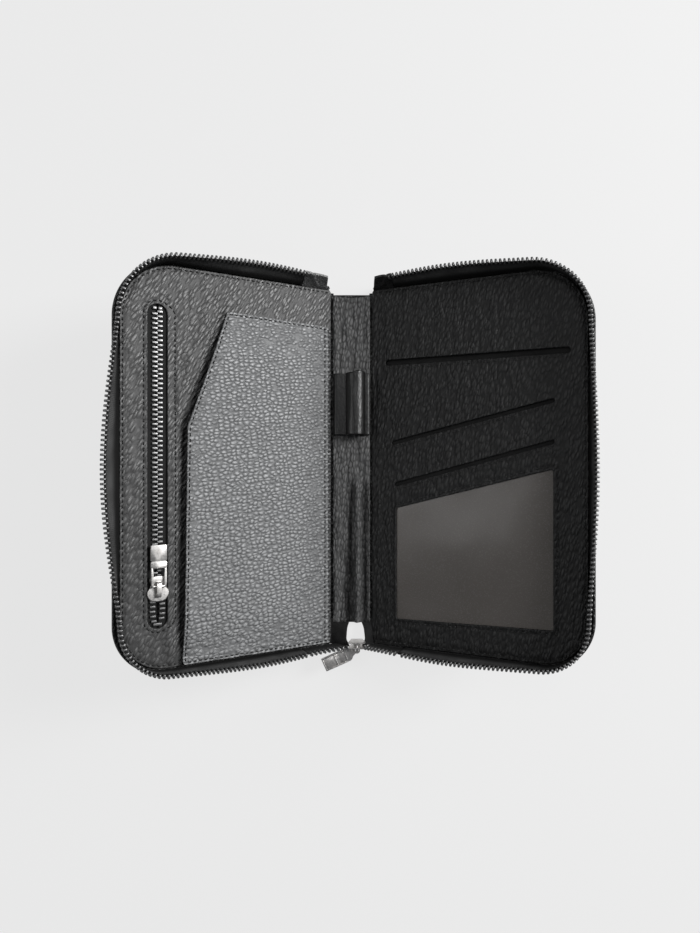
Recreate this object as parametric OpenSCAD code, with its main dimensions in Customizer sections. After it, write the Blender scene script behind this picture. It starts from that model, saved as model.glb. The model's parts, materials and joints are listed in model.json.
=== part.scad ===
// Zip-around travel wallet, open, lying on the outside of its spine.
// Frame: X across the open wallet, Y along the spine, Z up out of the open wallet.
// The origin is the centre of the spine's underside. Each cover is drawn flat, with
// s outward from its fold line, y along it and t up from the lining, then raised.

/* [Pose] */
// Angle of the left cover above the spine's plane
left_raise = 32; // [0:1:60]
// Angle of the right cover above the spine's plane
right_raise = 26.5; // [0:0.5:60]

/* [Covers] */
// Reach of a lining panel from its fold line
panel_w = 129.5; // [126:0.5:134]
// Height of a lining panel along the spine
panel_h = 220; // [216:1:226]
// Radius of a lining panel's corner at the top end
top_corner_r = 30; // [26:0.5:32]
// Radius of a lining panel's corner at the bottom end
foot_corner_r = 25; // [22:0.5:28]
// How far the outer leather stands out past the lining
leather_margin = 3.5; // [3:0.5:5]
// Gap between a fold line and the pieces of its cover
fold_gap = 0.6; // [0.5:0.1:1]

/* [Layers] */
// Thickness of the outer leather
leather_t = 1; // [0.8:0.1:1]
// Thickness of a stiffening board
board_t = 0.8; // [0.6:0.1:0.8]
// Depth of the layer that holds the pockets
pocket_layer_t = 1.4; // [1.4:0.1:1.5]
// Thickness of the lining leather
lining_t = 1; // [0.8:0.1:1]

/* [Spine] */
// Half the distance between the two fold lines
fold_x = 12.2; // [12.2:0.1:13]
// Top end of the spine lining
spine_top = 107; // [104:1:108]
// Bottom end of the spine lining
spine_bottom = -97; // [-99:1:-95]
// Inner radius of the pen loop
loop_r = 5; // [4:0.1:5.2]
// Length of the pen loop along the spine
loop_l = 38.6; // [30:0.2:45]
// Place of the pen loop's middle across the spine
loop_x = 2.5; // [0:0.5:3]
// Place of the pen loop's middle along the spine
loop_y = 38.7; // [30:0.1:50]

/* [Main zip] */
// Width of tape that shows outside the lining
tape_w = 9.5; // [9:0.1:9.6]
// Length of a tooth across the chain
tooth_l = 2.4; // [2:0.1:2.4]
// Spacing of the teeth along each tape
tooth_pitch = 2.5; // [2.4:0.1:3]
// Thickness of a tape
tape_t = 0.6; // [0.4:0.1:0.7]
// Lean of a tape out of its cover's plane at the top end of the fold
end_lean = 75; // [70:5:85]
// Lean in the middle of the top run
top_lean = 60; // [50:5:70]
// Lean round the top corner
top_corner_lean = 85; // [75:5:95]
// Lean in the middle of the left cover's side
left_side_lean = 35; // [35:5:60]
// Lean in the middle of the right cover's side
right_side_lean = 65; // [50:5:75]
// Lean round the bottom corner
foot_corner_lean = 90; // [85:5:105]
// Lean in the middle of the bottom run
foot_lean = 75; // [65:5:85]
// Lean where a tape turns up into the slider
slider_lean = 90; // [85:5:95]
// Middle of the main slider across the spine
slider_x = 3.3; // [2:0.1:3.5]
// Middle of the main slider along the spine
slider_y = -109; // [-109.5:0.1:-108.5]
// Height of the main slider's middle
slider_z = 11; // [10.5:0.1:11.2]
// Angle of the main pull below the -X direction
pull_swing = 24; // [22:1:30]

/* [Coin zip] */
// Distance of the coin zip from the fold line
coin_s = 109.5; // [108:0.5:110]
// Width of the coin zip's slot
slot_w = 10.8; // [10:0.1:11]
// Top end of the slot
slot_top = 88; // [84:1:89]
// Bottom end of the slot
slot_bottom = -87.7; // [-88:0.1:-86]
// Middle of the coin slider when the zip is closed
coin_slider_y = -66.2; // [-67:0.1:-65]
// Spacing of the coin zip's teeth along each tape
coin_pitch = 2.6; // [2.5:0.1:2.8]

/* [Pockets] */
// Height of the passport pocket's top face above the lining
pocket_rise = 2.6; // [2:0.1:3]
// Width of a card slot
card_slot_w = 2.4; // [2:0.1:3]
// Width of the long slot at the top
top_slot_w = 3.5; // [3:0.1:4]

/* [Hidden] */
$fn = 64;

// Layers, as heights t under the lining's surface
lining_under = -lining_t;
board_top = lining_under - pocket_layer_t;
board_under = board_top - board_t;
cover_under = board_under - leather_t;
fold_z = -cover_under;

// Outlines
panel_half = panel_h / 2;
outer_w = panel_w + leather_margin;
outer_half = panel_half + 3;
thread_w = 0.5;
thread_h = 0.15;
seam_inset = 2.5;

// Passport pocket: bottom at the fold, bottom outside, knee, apex, top at the fold
pocket_corners = [[1.5, -109.5], [96, -109.5], [94, 22.5], [69.5, 88.5], [1.5, 86.5]];
pocket_gap = 1.6;
pocket_seam_w = 4;

// Identity window: corners from the bottom at the fold, anticlockwise
window_corners = [[17, -93.5], [111, -91], [111, -1.5], [17, -25.5]];

// Ends of the three card slots
top_slot = [[11.5, 64], [118.5, 64]];
middle_slot = [[15, 14.5], [110.5, 36.5]];
lower_slot = [[17, -11], [110.5, 13.5]];

// Path of the main zip round a cover, measured from the fold at the top end
rim_top_r = top_corner_r + 0.5;
rim_foot_r = foot_corner_r + 0.5;
rim_w = panel_w + 1.1;
rim_half = panel_half + 1;
rim_top_run = rim_w - rim_top_r;
rim_side_start = rim_top_run + rim_top_r * PI / 2;
rim_foot_start = rim_side_start + 2 * rim_half - rim_top_r - rim_foot_r;
rim_foot_run = rim_w - rim_foot_r;
rim_length = rim_foot_start + rim_foot_r * PI / 2 + rim_foot_run;
tail_s = 22;
rim_end = rim_length - tail_s;
tape_step = 6;
tape_root = 1;
left_tab = [6, 21];
right_tab = [4, 15];
tab_t = 1.5;
tooth_w = 1.3;
tooth_t = 2.4;
tooth_grip = 0.5;

// Where along its path a tape's lean is set: at the fold, in the middle of the top run, of
// the top corner, of the side, of the bottom corner and of the bottom run, and at the slider
lean_places = [
    0,
    rim_top_run / 2,
    (rim_top_run + rim_side_start) / 2,
    (rim_side_start + rim_foot_start) / 2,
    (rim_foot_start + rim_length - rim_foot_run) / 2,
    rim_length - rim_foot_run / 2,
    rim_length
];

// A tape stands up round a corner, where its edge is gathered, and lies out along a side
function leans(side_lean) =
    [end_lean, top_lean, top_corner_lean, side_lean, foot_corner_lean, foot_lean, slider_lean];
left_lean = leans(left_side_lean);
right_lean = leans(right_side_lean);

// Coin zip: depths of its chain and places of its open end
coin_tape_t = 0.4;
coin_tape_run = 4;
coin_tape_top = -1.1;
coin_chain_t = -0.45;
coin_tooth_l = 3.1;
coin_tooth_w = 1.2;
coin_tooth_t = 1.1;
coin_open = 1.3;

// Sliders: [width, length, gap above the chain's middle, gap below it, plate thickness]
coin_slider_size = [11.5, 13.5, 0.8, 1.15, 0.8];
main_slider_size = [10.5, 11.2, 1.3, 1.3, 0.7];
coin_pivot = [0, 1.7, 2.7];
coin_pull_l = 22.2;
main_pivot_z = 4.1;
main_bar_r = 0.8;
main_pull_l = 22.5;

// Places that raised covers share with the spine
function place(side, raise, s, t) = [
    side * (fold_x + s * cos(raise) - t * sin(raise)),
    fold_z + s * sin(raise) + t * cos(raise)
];

// A smooth step from 0 to 1
function ease(q) = let (k = min(max(q, 0), 1)) k * k * (3 - 2 * k);

// The lean at distance u, eased from one place to the next
function lean_after(angles, u, i) =
    u <= lean_places[i + 1] || i + 2 >= len(angles)
        ? angles[i] + (angles[i + 1] - angles[i])
            * ease((u - lean_places[i]) / (lean_places[i + 1] - lean_places[i]))
        : lean_after(angles, u, i + 1);
function lean(angles, u) = lean_after(angles, u, 0);

// Point and outward heading of the main zip's path at distance u: [s, y, heading]
function on_arc(r, centre_y, heading) =
    [rim_w - r + r * cos(heading), centre_y + r * sin(heading), heading];
function rim_place(u) =
    u < rim_top_run ? [u, rim_half, 90]
    : u < rim_side_start
        ? on_arc(rim_top_r, rim_half - rim_top_r, 90 - (u - rim_top_run) / rim_top_r * 180 / PI)
    : u < rim_foot_start
        ? [rim_w, rim_half - rim_top_r - (u - rim_side_start), 0]
    : u < rim_length - rim_foot_run
        ? on_arc(rim_foot_r, rim_foot_r - rim_half, -(u - rim_foot_start) / rim_foot_r * 180 / PI)
    : [rim_length - u, -rim_half, -90];

// Point of the tape at distance u along it, w across it and e off its middle
function tape_point(angles, u, w, e) =
    let (p = rim_place(u), a = lean(angles, u), out = w * cos(a) + e * sin(a))
    [p[0] + out * cos(p[2]), p[1] + out * sin(p[2]), w * sin(a) - e * cos(a)];
function tape_ring(angles, u, low, high, thick) = [
    for (c = [[low, -1], [high, -1], [high, 1], [low, 1]])
        tape_point(angles, u, c[0], c[1] * thick / 2)
];

// Corners of a polygon moved in by d, where the corners run anticlockwise
function inward(v) = [-v[1], v[0]] / norm(v);
function inset(p, d) = [
    for (i = [0:len(p) - 1])
        let (before = p[(i + len(p) - 1) % len(p)], here = p[i], after = p[(i + 1) % len(p)])
        let (m = inward(here - before), n = inward(after - here))
        here + d * (m + n) / (1 + m * n)
];

// A closed skin through rings of four points
module loft(rings) {
    last = len(rings) - 1;
    polyhedron(
        points = [for (r = rings) each r],
        faces = concat(
            [[0, 1, 2], [0, 2, 3]],
            [for (i = [0:last - 1], k = [0:3], half = [0, 1])
                let (a = 4 * i + k, b = 4 * i + (k + 1) % 4)
                half == 0 ? [a, a + 4, b] : [b, a + 4, b + 4]],
            [[4 * last, 4 * last + 2, 4 * last + 1], [4 * last, 4 * last + 3, 4 * last + 2]]
        )
    );
}

module on_left() {
    translate([-fold_x, 0, fold_z])
        rotate([0, left_raise, 0])
            mirror([1, 0, 0])
                children();
}

module on_right() {
    translate([fold_x, 0, fold_z])
        rotate([0, -right_raise, 0])
            children();
}

// A layer from height low to height high
module layer(low, high) {
    translate([0, 0, low])
        linear_extrude(high - low)
            children();
}

// A cover's outline: square at the fold, round at the two outer corners, whose radii
// are a lining panel's plus grow
module cover_shape(start, reach, half, grow) {
    top_r = top_corner_r + grow;
    foot_r = foot_corner_r + grow;
    translate([start, foot_r - half])
        square([reach - start, 2 * half - top_r - foot_r]);
    translate([start, -half])
        square([reach - foot_r - start, foot_r + 1]);
    translate([start, half - top_r - 1])
        square([reach - top_r - start, top_r + 1]);
    translate([reach - top_r, half - top_r])
        circle(top_r);
    translate([reach - foot_r, foot_r - half])
        circle(foot_r);
}

// A straight band of width w with round ends
module band(from, to, w) {
    run = to - from;
    translate(from)
        rotate(atan2(run[1], run[0]))
            translate([0, -w / 2])
                square([norm(run), w]);
    for (end = [from, to])
        translate(end)
            circle(w / 2);
}

// A line of thread inside the sides of a polygon, at distance d from them
module seam(corners, d) {
    difference() {
        polygon(inset(corners, d - thread_w / 2));
        polygon(inset(corners, d + thread_w / 2));
    }
}

module coin_slot(grow) {
    r = slot_w / 2;
    band([coin_s, slot_bottom + r], [coin_s, slot_top - r], slot_w + 2 * grow);
}

module rim_seam() {
    difference() {
        cover_shape(3, panel_w - seam_inset, panel_half - seam_inset, -seam_inset);
        cover_shape(
            2,
            panel_w - seam_inset - thread_w,
            panel_half - seam_inset - thread_w,
            -seam_inset - thread_w
        );
    }
}

// Outer leather of a cover, with the turned edge that holds the tape's root
module cover_leather() {
    layer(cover_under, board_under)
        cover_shape(fold_gap, outer_w, outer_half, leather_margin);
    layer(board_under, lining_under)
        difference() {
            cover_shape(fold_gap, outer_w, outer_half, leather_margin);
            cover_shape(fold_gap - 1, outer_w - 1.8, outer_half - 1.2, leather_margin - 1.8);
        }
}

module cover_board() {
    layer(board_under, board_top)
        cover_shape(3, panel_w - 2, panel_half - 2, -2);
}

// Outer leather where it bends between the spine and a cover
module fold_leather(side, raise) {
    under = place(side, raise, fold_gap - 0.2, cover_under);
    over = place(side, raise, fold_gap - 0.2, board_under);
    edge = side * (fold_x - 0.3);
    translate([0, 109, 0])
        rotate([90, 0, 0])
            linear_extrude(210)
                polygon([
                    [edge, 0], [side * (fold_x + 1.6), 0.1], under,
                    over, [side * (fold_x + 1.1), leather_t + 0.1], [edge, leather_t]
                ]);
}

// A cover's half of the main zip
module zip_tape(angles, tab) {
    stations = ceil((rim_end - tab[1]) / tape_step);
    loft([
        for (i = [0:stations])
            tape_ring(angles, tab[1] + 0.2 + (rim_end - tab[1] - 0.2) * i / stations,
                -tape_root, tape_w, tape_t)
    ]);
}

module zip_teeth(angles, tab) {
    for (u = [tab[1] + 1.5 : tooth_pitch : rim_end - 0.7]) {
        p = rim_place(u);
        translate([p[0], p[1], 0])
            rotate([0, -lean(angles, u), p[2]])
                translate([tape_w - tooth_grip, -tooth_w / 2, -tooth_t / 2])
                    cube([tooth_l + tooth_grip, tooth_w, tooth_t]);
    }
}

module zip_end_tab(angles, tab) {
    loft([
        for (i = [0:3])
            tape_ring(angles, tab[0] + (tab[1] - tab[0]) * i / 3,
                -tape_root / 2, tape_w + tooth_l, tab_t)
    ]);
}

// The last stretch of a tape, from the cover's foot to the slider's mouth
function tail_start(side, raise, angles, w, e) =
    let (p = tape_point(angles, rim_end + 0.2, w, e), q = place(side, raise, p[0], p[2]))
    [q[0], p[1], q[1]];
function tail_mouth(side) = [slider_x + side * 4.9, slider_y - 0.3, slider_z + 7.4];
function tail_root(side) = [side > 0 ? fold_x + 0.8 : -fold_x + 3, slider_y - 1.3, fold_z + 1.2];
function tail_point(side, raise, angles, across, e, q) =
    let (
        from = tail_start(side, raise, angles, across * tape_w, e),
        to = tail_root(side) * (1 - across) + tail_mouth(side) * across + [0, -e, 0],
        sag = place(side, raise, tail_s * 0.4, across * tape_w),
        knee = [sag[0], -rim_half - e, sag[1]]
    )
    from * (1 - q) * (1 - q) + 2 * knee * q * (1 - q) + to * q * q;

module zip_tail(side, raise, angles) {
    stations = 8;
    rings = [
        for (i = [0:stations])
            [for (c = [[0, -1], [1, -1], [1, 1], [0, 1]])
                tail_point(side, raise, angles, c[0], c[1] * tape_t / 2, i / stations)]
    ];
    loft(side > 0 ? rings : [for (r = rings) [r[3], r[2], r[1], r[0]]]);
}

module zip_tail_teeth(side, raise, angles) {
    count = 9;
    for (i = [0:count - 1]) {
        edge = tail_point(side, raise, angles, 1, 0, (i + 0.5) / count);
        root = tail_point(side, raise, angles, 0, 0, (i + 0.5) / count);
        rise = edge - root;
        translate(edge)
            rotate([0, -atan2(rise[2], rise[0]), 0])
                translate([-tooth_grip, -tooth_t / 2, -tooth_w / 2])
                    cube([tooth_l + tooth_grip, tooth_t, tooth_w]);
    }
}

// The turned-in end of a tape, beside the opening at the spine's foot: a rising flap
// with a slanted inner edge
module tape_end(outer, top_inner, foot_inner) {
    top_y = spine_bottom - 0.3;
    foot_y = -106.5;
    rise = 10;
    slope = [
        for (q = [0 : 0.2 : 1])
            [top_y + (foot_y - top_y) * q, fold_z - 0.8 + rise * ease(q)]
    ];
    over = [for (i = [5:-1:0]) slope[i] + [0, 1.5 * tape_t]];
    intersection() {
        translate([-fold_x, 0, 0])
            rotate([90, 0, 90])
                linear_extrude(2 * fold_x)
                    polygon(concat(slope, over));
        linear_extrude(2 * fold_z + rise)
            polygon([
                [outer, top_y + 1], [outer, foot_y - 1],
                [foot_inner, foot_y - 1], [top_inner, top_y + 1]
            ]);
    }
}

// A slider: origin at the middle of the chain, mouths towards -Y, bridge towards +Z
module slider_plate(size, scale_w) {
    w = size[0] * scale_w;
    l = size[1];
    wide_y = -l * 0.22;
    intersection() {
        translate([0, wide_y])
            circle(w / 2);
        translate([-w / 2, -l / 2])
            square([w, l]);
    }
    polygon([[-w / 2, wide_y], [w / 2, wide_y], [w * 0.33, l / 2], [-w * 0.33, l / 2]]);
}

module slider_plates(size, under_w) {
    layer(size[2], size[2] + size[4])
        slider_plate(size, 1);
    layer(-size[3] - size[4] * 0.5, -size[3])
        slider_plate(size, under_w);
    translate([0, -size[1] * 0.3, -size[3] - 0.1])
        cylinder(h = size[2] + size[3] + 0.2, r = 0.85);
}

// The bridge is a loop along the slider, drawn from its side and given a width
module coin_slider_body() {
    top = coin_slider_size[2] + coin_slider_size[4];
    on_left()
        translate([coin_s, coin_slider_y, coin_chain_t])
            color("silver") {
                slider_plates(coin_slider_size, 0.74);
                difference() {
                    translate([-1.2, -4.6, top - 0.1])
                        cube([2.4, 8.9, 3]);
                    translate([-1.3, -1, top])
                        cube([2.6, 3.9, 2.15]);
                }
            }
}

module coin_pull() {
    on_left()
        translate([coin_s, coin_slider_y, coin_chain_t])
            translate(coin_pivot)
                color("silver") {
                    rotate([0, 90, 0])
                        cylinder(h = 7, r = 0.65, center = true);
                    for (side = [-1, 1])
                        translate([side * 3.6 - 0.8, -0.7, -0.65])
                            cube([1.6, 11, 1.3]);
                    translate([-4.6, 10, -0.85])
                        cube([9.2, coin_pull_l - 10, 1.7]);
                }
}

module on_main_slider() {
    translate([slider_x, slider_y, slider_z])
        rotate([0, 180, 0])
            rotate([90, 0, 0])
                children();
}

module main_slider_body() {
    top = main_slider_size[2] + main_slider_size[4];
    on_main_slider()
        color("silver") {
            slider_plates(main_slider_size, 1);
            translate([0, 4.2, main_pivot_z])
                rotate([90, 0, 0])
                    cylinder(h = 8.4, r = main_bar_r);
            for (end = [-4.2, 3])
                translate([-main_bar_r, end, top - 0.1])
                    cube([2 * main_bar_r, 1.2, main_pivot_z - top + 0.1]);
        }
}

module main_pull() {
    translate([slider_x, slider_y - main_pivot_z, slider_z])
        rotate(90 + pull_swing)
            color("silver")
                layer(-0.75, 0.75)
                    difference() {
                        union() {
                            circle(1.9);
                            polygon([[-1.9, 0], [1.9, 0], [4.3, 5], [-4.3, 5]]);
                            translate([-4.3, 5])
                                square([8.6, main_pull_l - 5]);
                        }
                        circle(main_bar_r + 0.3);
                    }
}

module main_zip_stop() {
    color("silver")
        translate([slider_x - 2.4, slider_y - 1.2, fold_z - 1])
            cube([4.8, 2.4, 1.6]);
}

module spine_cover_leather() {
    color("#26262a")
        translate([0.4 - fold_x, spine_bottom - 1, 0])
            cube([2 * (fold_x - 0.4), spine_top - spine_bottom + 2, leather_t]);
}

module spine_stiffener() {
    color("#8f8578")
        translate([2.7 - fold_x, spine_bottom + 3, leather_t])
            cube([2 * (fold_x - 2.7), spine_top - spine_bottom - 6, fold_z - lining_t - leather_t]);
}

// The lining strip, with the soft lengthwise fold below the pen loop
module spine_lining() {
    fold_top = -5;
    fold_r = 6;
    fold_h = 1.1;
    color("#3a3a3c") {
        translate([0.6 - fold_x, spine_bottom, fold_z - lining_t])
            cube([2 * (fold_x - 0.6), spine_top - spine_bottom, lining_t]);
        intersection() {
            translate([loop_x, fold_top, fold_z + fold_h - fold_r])
                rotate([90, 0, 0])
                    cylinder(h = fold_top - spine_bottom, r = fold_r);
            translate([-fold_x, spine_bottom, fold_z - 0.1])
                cube([2 * fold_x, fold_top - spine_bottom, fold_h + 1]);
        }
    }
}

module pen_loop() {
    wall = 1;
    centre_z = fold_z + wall + loop_r;
    color("#2c2c2e")
        translate([0, loop_y - loop_l / 2, 0])
            difference() {
                union() {
                    translate([1 - fold_x, 0, fold_z])
                        cube([2 * (fold_x - 1), loop_l, wall - 0.1]);
                    translate([loop_x, loop_l, centre_z])
                        rotate([90, 0, 0])
                            cylinder(h = loop_l, r = loop_r + wall);
                }
                translate([loop_x, loop_l + 1, centre_z])
                    rotate([90, 0, 0])
                        cylinder(h = loop_l + 2, r = loop_r);
            }
}

module left_fold_leather() {
    color("#232326")
        fold_leather(-1, left_raise);
}

module right_fold_leather() {
    color("#232326")
        fold_leather(1, right_raise);
}

module left_tape_end() {
    color("#141416")
        tape_end(-9, -1.6, -3.4);
}

module right_tape_end() {
    color("#141416")
        tape_end(11, 6.2, 8.6);
}

module left_zip_tail() {
    color("#141416")
        zip_tail(-1, left_raise, left_lean);
}

module right_zip_tail() {
    color("#141416")
        zip_tail(1, right_raise, right_lean);
}

module left_zip_tail_teeth() {
    color("silver")
        zip_tail_teeth(-1, left_raise, left_lean);
}

module right_zip_tail_teeth() {
    color("silver")
        zip_tail_teeth(1, right_raise, right_lean);
}

module left_cover_leather() {
    color("#26262a")
        on_left()
            cover_leather();
}

module left_board() {
    color("#8f8578")
        on_left()
            cover_board();
}

module left_lining() {
    color("#5b5b5c")
        on_left()
            layer(lining_under, 0)
                difference() {
                    cover_shape(fold_gap, panel_w, panel_half, 0);
                    coin_slot(0);
                }
}

module left_lining_thread() {
    color("#1c1c1e")
        on_left()
            layer(0, thread_h)
                difference() {
                    rim_seam();
                    polygon(pocket_corners);
                }
}

// Passport pocket: a top sheet held off the lining by its sewn edges, open at the slant
module passport_pocket() {
    top = pocket_corners[4];
    foot = pocket_corners[0];
    color("#838485")
        on_left() {
            layer(pocket_gap, pocket_rise)
                polygon(pocket_corners);
            layer(0, pocket_gap)
                intersection() {
                    polygon(pocket_corners);
                    union() {
                        translate(foot)
                            square([pocket_seam_w, top[1] - foot[1]]);
                        translate(foot)
                            square([96, pocket_seam_w]);
                        translate([foot[0], top[1] - pocket_seam_w])
                            square([60, pocket_seam_w + 3]);
                    }
                }
        }
}

module passport_pocket_thread() {
    color("#2a2a2c")
        on_left()
            layer(pocket_rise, pocket_rise + thread_h)
                seam(pocket_corners, seam_inset);
}

// A flat fabric tray that the lining and the zip's tapes close, a little longer than the tapes
module coin_pocket_bag() {
    ply = 0.2;
    hem = 2;
    foot = -97;
    size = [65, slot_top + coin_tape_run + 0.5 + hem - foot];
    color("#1d1d20")
        on_left()
            translate([60, foot]) {
                layer(board_top, board_top + ply)
                    square(size);
                layer(board_top + ply, lining_under)
                    difference() {
                        square(size);
                        translate([hem, hem])
                            square(size - [2 * hem, 2 * hem]);
                    }
            }
}

module coin_zip_tapes() {
    gap = 1.9;
    color("#101012")
        on_left()
            for (side = [-1, 1])
                translate([
                    coin_s + (side > 0 ? gap / 2 : -gap / 2 - 8),
                    slot_bottom - coin_tape_run,
                    coin_tape_top - coin_tape_t
                ])
                    cube([8, slot_top - slot_bottom + 2 * coin_tape_run, coin_tape_t]);
}

// Sideways spread of the coin zip's teeth at y: together above the slider, apart below
function coin_spread(y) =
    coin_open * ease((coin_slider_y + 2 - y) / 5) * (0.25 + 0.75 * ease((y - slot_bottom - 1) / 8));

module coin_teeth(side, from) {
    for (y = [from : coin_pitch : slot_top - 4])
        translate([
            coin_s + side * coin_spread(y) + (side > 0 ? -0.2 : 0.2 - coin_tooth_l),
            y - coin_tooth_w / 2,
            coin_tape_top + 0.05
        ])
            cube([coin_tooth_l, coin_tooth_w, coin_tooth_t]);
}

module coin_zip_teeth_outer() {
    color("silver")
        on_left()
            coin_teeth(1, slot_bottom + 4);
}

module coin_zip_teeth_inner() {
    color("silver")
        on_left()
            coin_teeth(-1, slot_bottom + 4 + coin_pitch / 2);
}

module coin_zip_top_stops() {
    color("silver")
        on_left()
            for (side = [-1, 1])
                translate([coin_s + side * 1.5 - 1.1, slot_top - 3, coin_tape_top + 0.05])
                    cube([2.2, 1.6, 1.2]);
}

module coin_zip_bottom_stop() {
    color("silver")
        on_left()
            translate([coin_s - 2.4, slot_bottom + 1.4, coin_tape_top + 0.05])
                cube([4.8, 1.6, 1.2]);
}

module coin_zip_thread() {
    color("#1c1c1e")
        on_left()
            layer(0, thread_h)
                difference() {
                    coin_slot(1.5 + thread_w);
                    coin_slot(1.5);
                }
}

module left_zip_tape() {
    color("#141416")
        on_left()
            zip_tape(left_lean, left_tab);
}

module left_zip_teeth() {
    color("silver")
        on_left()
            zip_teeth(left_lean, left_tab);
}

module left_zip_end_tab() {
    color("#3f3f41")
        on_left()
            zip_end_tab(left_lean, left_tab);
}

module right_cover_leather() {
    color("#26262a")
        on_right()
            cover_leather();
}

module right_board() {
    color("#8f8578")
        on_right()
            cover_board();
}

module right_lining() {
    color("#1f1f21")
        on_right()
            layer(lining_under, 0)
                difference() {
                    cover_shape(fold_gap, panel_w, panel_half, 0);
                    band(top_slot[0], top_slot[1], top_slot_w);
                    band(middle_slot[0], middle_slot[1], card_slot_w);
                    band(lower_slot[0], lower_slot[1], card_slot_w);
                    polygon(window_corners);
                }
}

module right_lining_thread() {
    color("#0e0e10")
        on_right()
            layer(0, thread_h)
                rim_seam();
}

// A fabric pocket sheet hanging behind a slot, at its own depth
module card_pocket(top_y, low_y, depth) {
    color("#18181a")
        on_right()
            layer(lining_under - depth, lining_under - depth + 0.2)
                translate([8, low_y])
                    square([114, top_y - low_y]);
}

module card_pocket_upper() {
    card_pocket(70, 4, 1.3);
}

module card_pocket_middle() {
    card_pocket(42, -24, 1);
}

module card_pocket_lower() {
    card_pocket(19, -50, 0.7);
}

module id_window_film() {
    color("#4d4a48", 0.5)
        on_right()
            layer(lining_under - 0.3, lining_under)
                polygon(inset(window_corners, -4));
}

module id_window_thread() {
    color("#0e0e10")
        on_right()
            layer(0, thread_h)
                seam(window_corners, -2.2);
}

module right_zip_tape() {
    color("#141416")
        on_right()
            zip_tape(right_lean, right_tab);
}

module right_zip_teeth() {
    color("silver")
        on_right()
            zip_teeth(right_lean, right_tab);
}

module right_zip_end_tab() {
    color("#232325")
        on_right()
            zip_end_tab(right_lean, right_tab);
}

spine_cover_leather();
spine_stiffener();
spine_lining();
pen_loop();
left_fold_leather();
right_fold_leather();
left_tape_end();
right_tape_end();
left_zip_tail();
right_zip_tail();
left_zip_tail_teeth();
right_zip_tail_teeth();
main_zip_stop();
left_cover_leather();
left_board();
left_lining();
left_lining_thread();
passport_pocket();
passport_pocket_thread();
coin_pocket_bag();
coin_zip_tapes();
coin_zip_teeth_outer();
coin_zip_teeth_inner();
coin_zip_top_stops();
coin_zip_bottom_stop();
coin_zip_thread();
left_zip_tape();
left_zip_teeth();
left_zip_end_tab();
right_cover_leather();
right_board();
right_lining();
right_lining_thread();
card_pocket_upper();
card_pocket_middle();
card_pocket_lower();
id_window_film();
id_window_thread();
right_zip_tape();
right_zip_teeth();
right_zip_end_tab();
coin_slider_body();
coin_pull();
main_slider_body();
main_pull();
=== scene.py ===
"""Looks of the zip-around travel wallet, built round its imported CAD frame.

Lengths are in millimetres, in a cover's own frame (s out from its fold, y along it, t up from
its lining) or in the row frame for the spine. MM turns them into Blender's metres.
"""

import json
import math
from contextlib import contextmanager

import bmesh
import bpy
import numpy as np
from mathutils import Matrix, Vector


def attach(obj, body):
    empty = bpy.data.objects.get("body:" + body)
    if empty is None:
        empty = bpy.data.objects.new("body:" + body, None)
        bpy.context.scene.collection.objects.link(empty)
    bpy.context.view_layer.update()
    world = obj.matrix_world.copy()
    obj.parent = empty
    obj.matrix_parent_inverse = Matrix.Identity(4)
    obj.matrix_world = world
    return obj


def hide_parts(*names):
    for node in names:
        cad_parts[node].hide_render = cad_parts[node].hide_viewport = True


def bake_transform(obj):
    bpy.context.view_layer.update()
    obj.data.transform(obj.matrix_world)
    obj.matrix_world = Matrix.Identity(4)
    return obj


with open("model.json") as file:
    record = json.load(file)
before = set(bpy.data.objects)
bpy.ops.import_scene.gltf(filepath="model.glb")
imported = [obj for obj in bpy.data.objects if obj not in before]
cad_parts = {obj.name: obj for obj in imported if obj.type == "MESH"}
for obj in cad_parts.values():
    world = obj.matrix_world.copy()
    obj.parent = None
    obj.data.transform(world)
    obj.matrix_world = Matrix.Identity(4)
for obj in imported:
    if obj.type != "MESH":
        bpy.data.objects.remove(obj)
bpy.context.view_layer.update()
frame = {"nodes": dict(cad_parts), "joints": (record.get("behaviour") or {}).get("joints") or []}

MM = 0.001
rng = np.random.default_rng(11)

# Places taken from the frame

joints = {j["name"]: j for j in frame["joints"]}
SIGN = {"left": -1, "right": 1}
FOLD_X, _, FOLD_Z = (p / MM for p in joints["right_cover_fold"]["pos_m"])
RAISE = {side: math.radians(-joints[side + "_cover_fold"]["range_deg"][0]) for side in SIGN}
# A cover's x runs out from the fold on the right and towards it on the left
FRAMES = {side: Matrix.Translation(Vector((sign * FOLD_X, 0, FOLD_Z)) * MM)
          @ Matrix.Rotation(-sign * RAISE[side], 4, "Y") for side, sign in SIGN.items()}
FRAMES["row"] = Matrix.Identity(4)


def row_point(side, s, t):
    """(x, z) in the row frame of a point (s, t) of a cover."""
    turn = RAISE[side]
    return (SIGN[side] * (FOLD_X + s * math.cos(turn) - t * math.sin(turn)),
            FOLD_Z + s * math.sin(turn) + t * math.cos(turn))


def points_of(node, side="row"):
    """A CAD node's vertices in millimetres, in a cover's frame as (s, y, t) or in the row frame."""
    matrix = np.array(FRAMES[side].inverted())
    flat = np.array([v.co for v in frame["nodes"][node].data.vertices])
    local = (np.c_[flat, np.ones(len(flat))] @ matrix.T)[:, :3] / MM
    local[:, 0] *= SIGN.get(side, 1)
    return local


def span(node, side="row"):
    points = points_of(node, side)
    return points.min(0), points.max(0)


def inset(corners, d):
    """Corners of an anticlockwise polygon moved in by d."""
    before, after = np.roll(corners, 1, axis=0), np.roll(corners, -1, axis=0)

    def inward(edge):
        edge = edge / np.linalg.norm(edge, axis=1)[:, None]
        return np.c_[-edge[:, 1], edge[:, 0]]

    m, n = inward(corners - before), inward(after - corners)
    return corners + d * (m + n) / (1 + (m * n).sum(1))[:, None]


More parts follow.
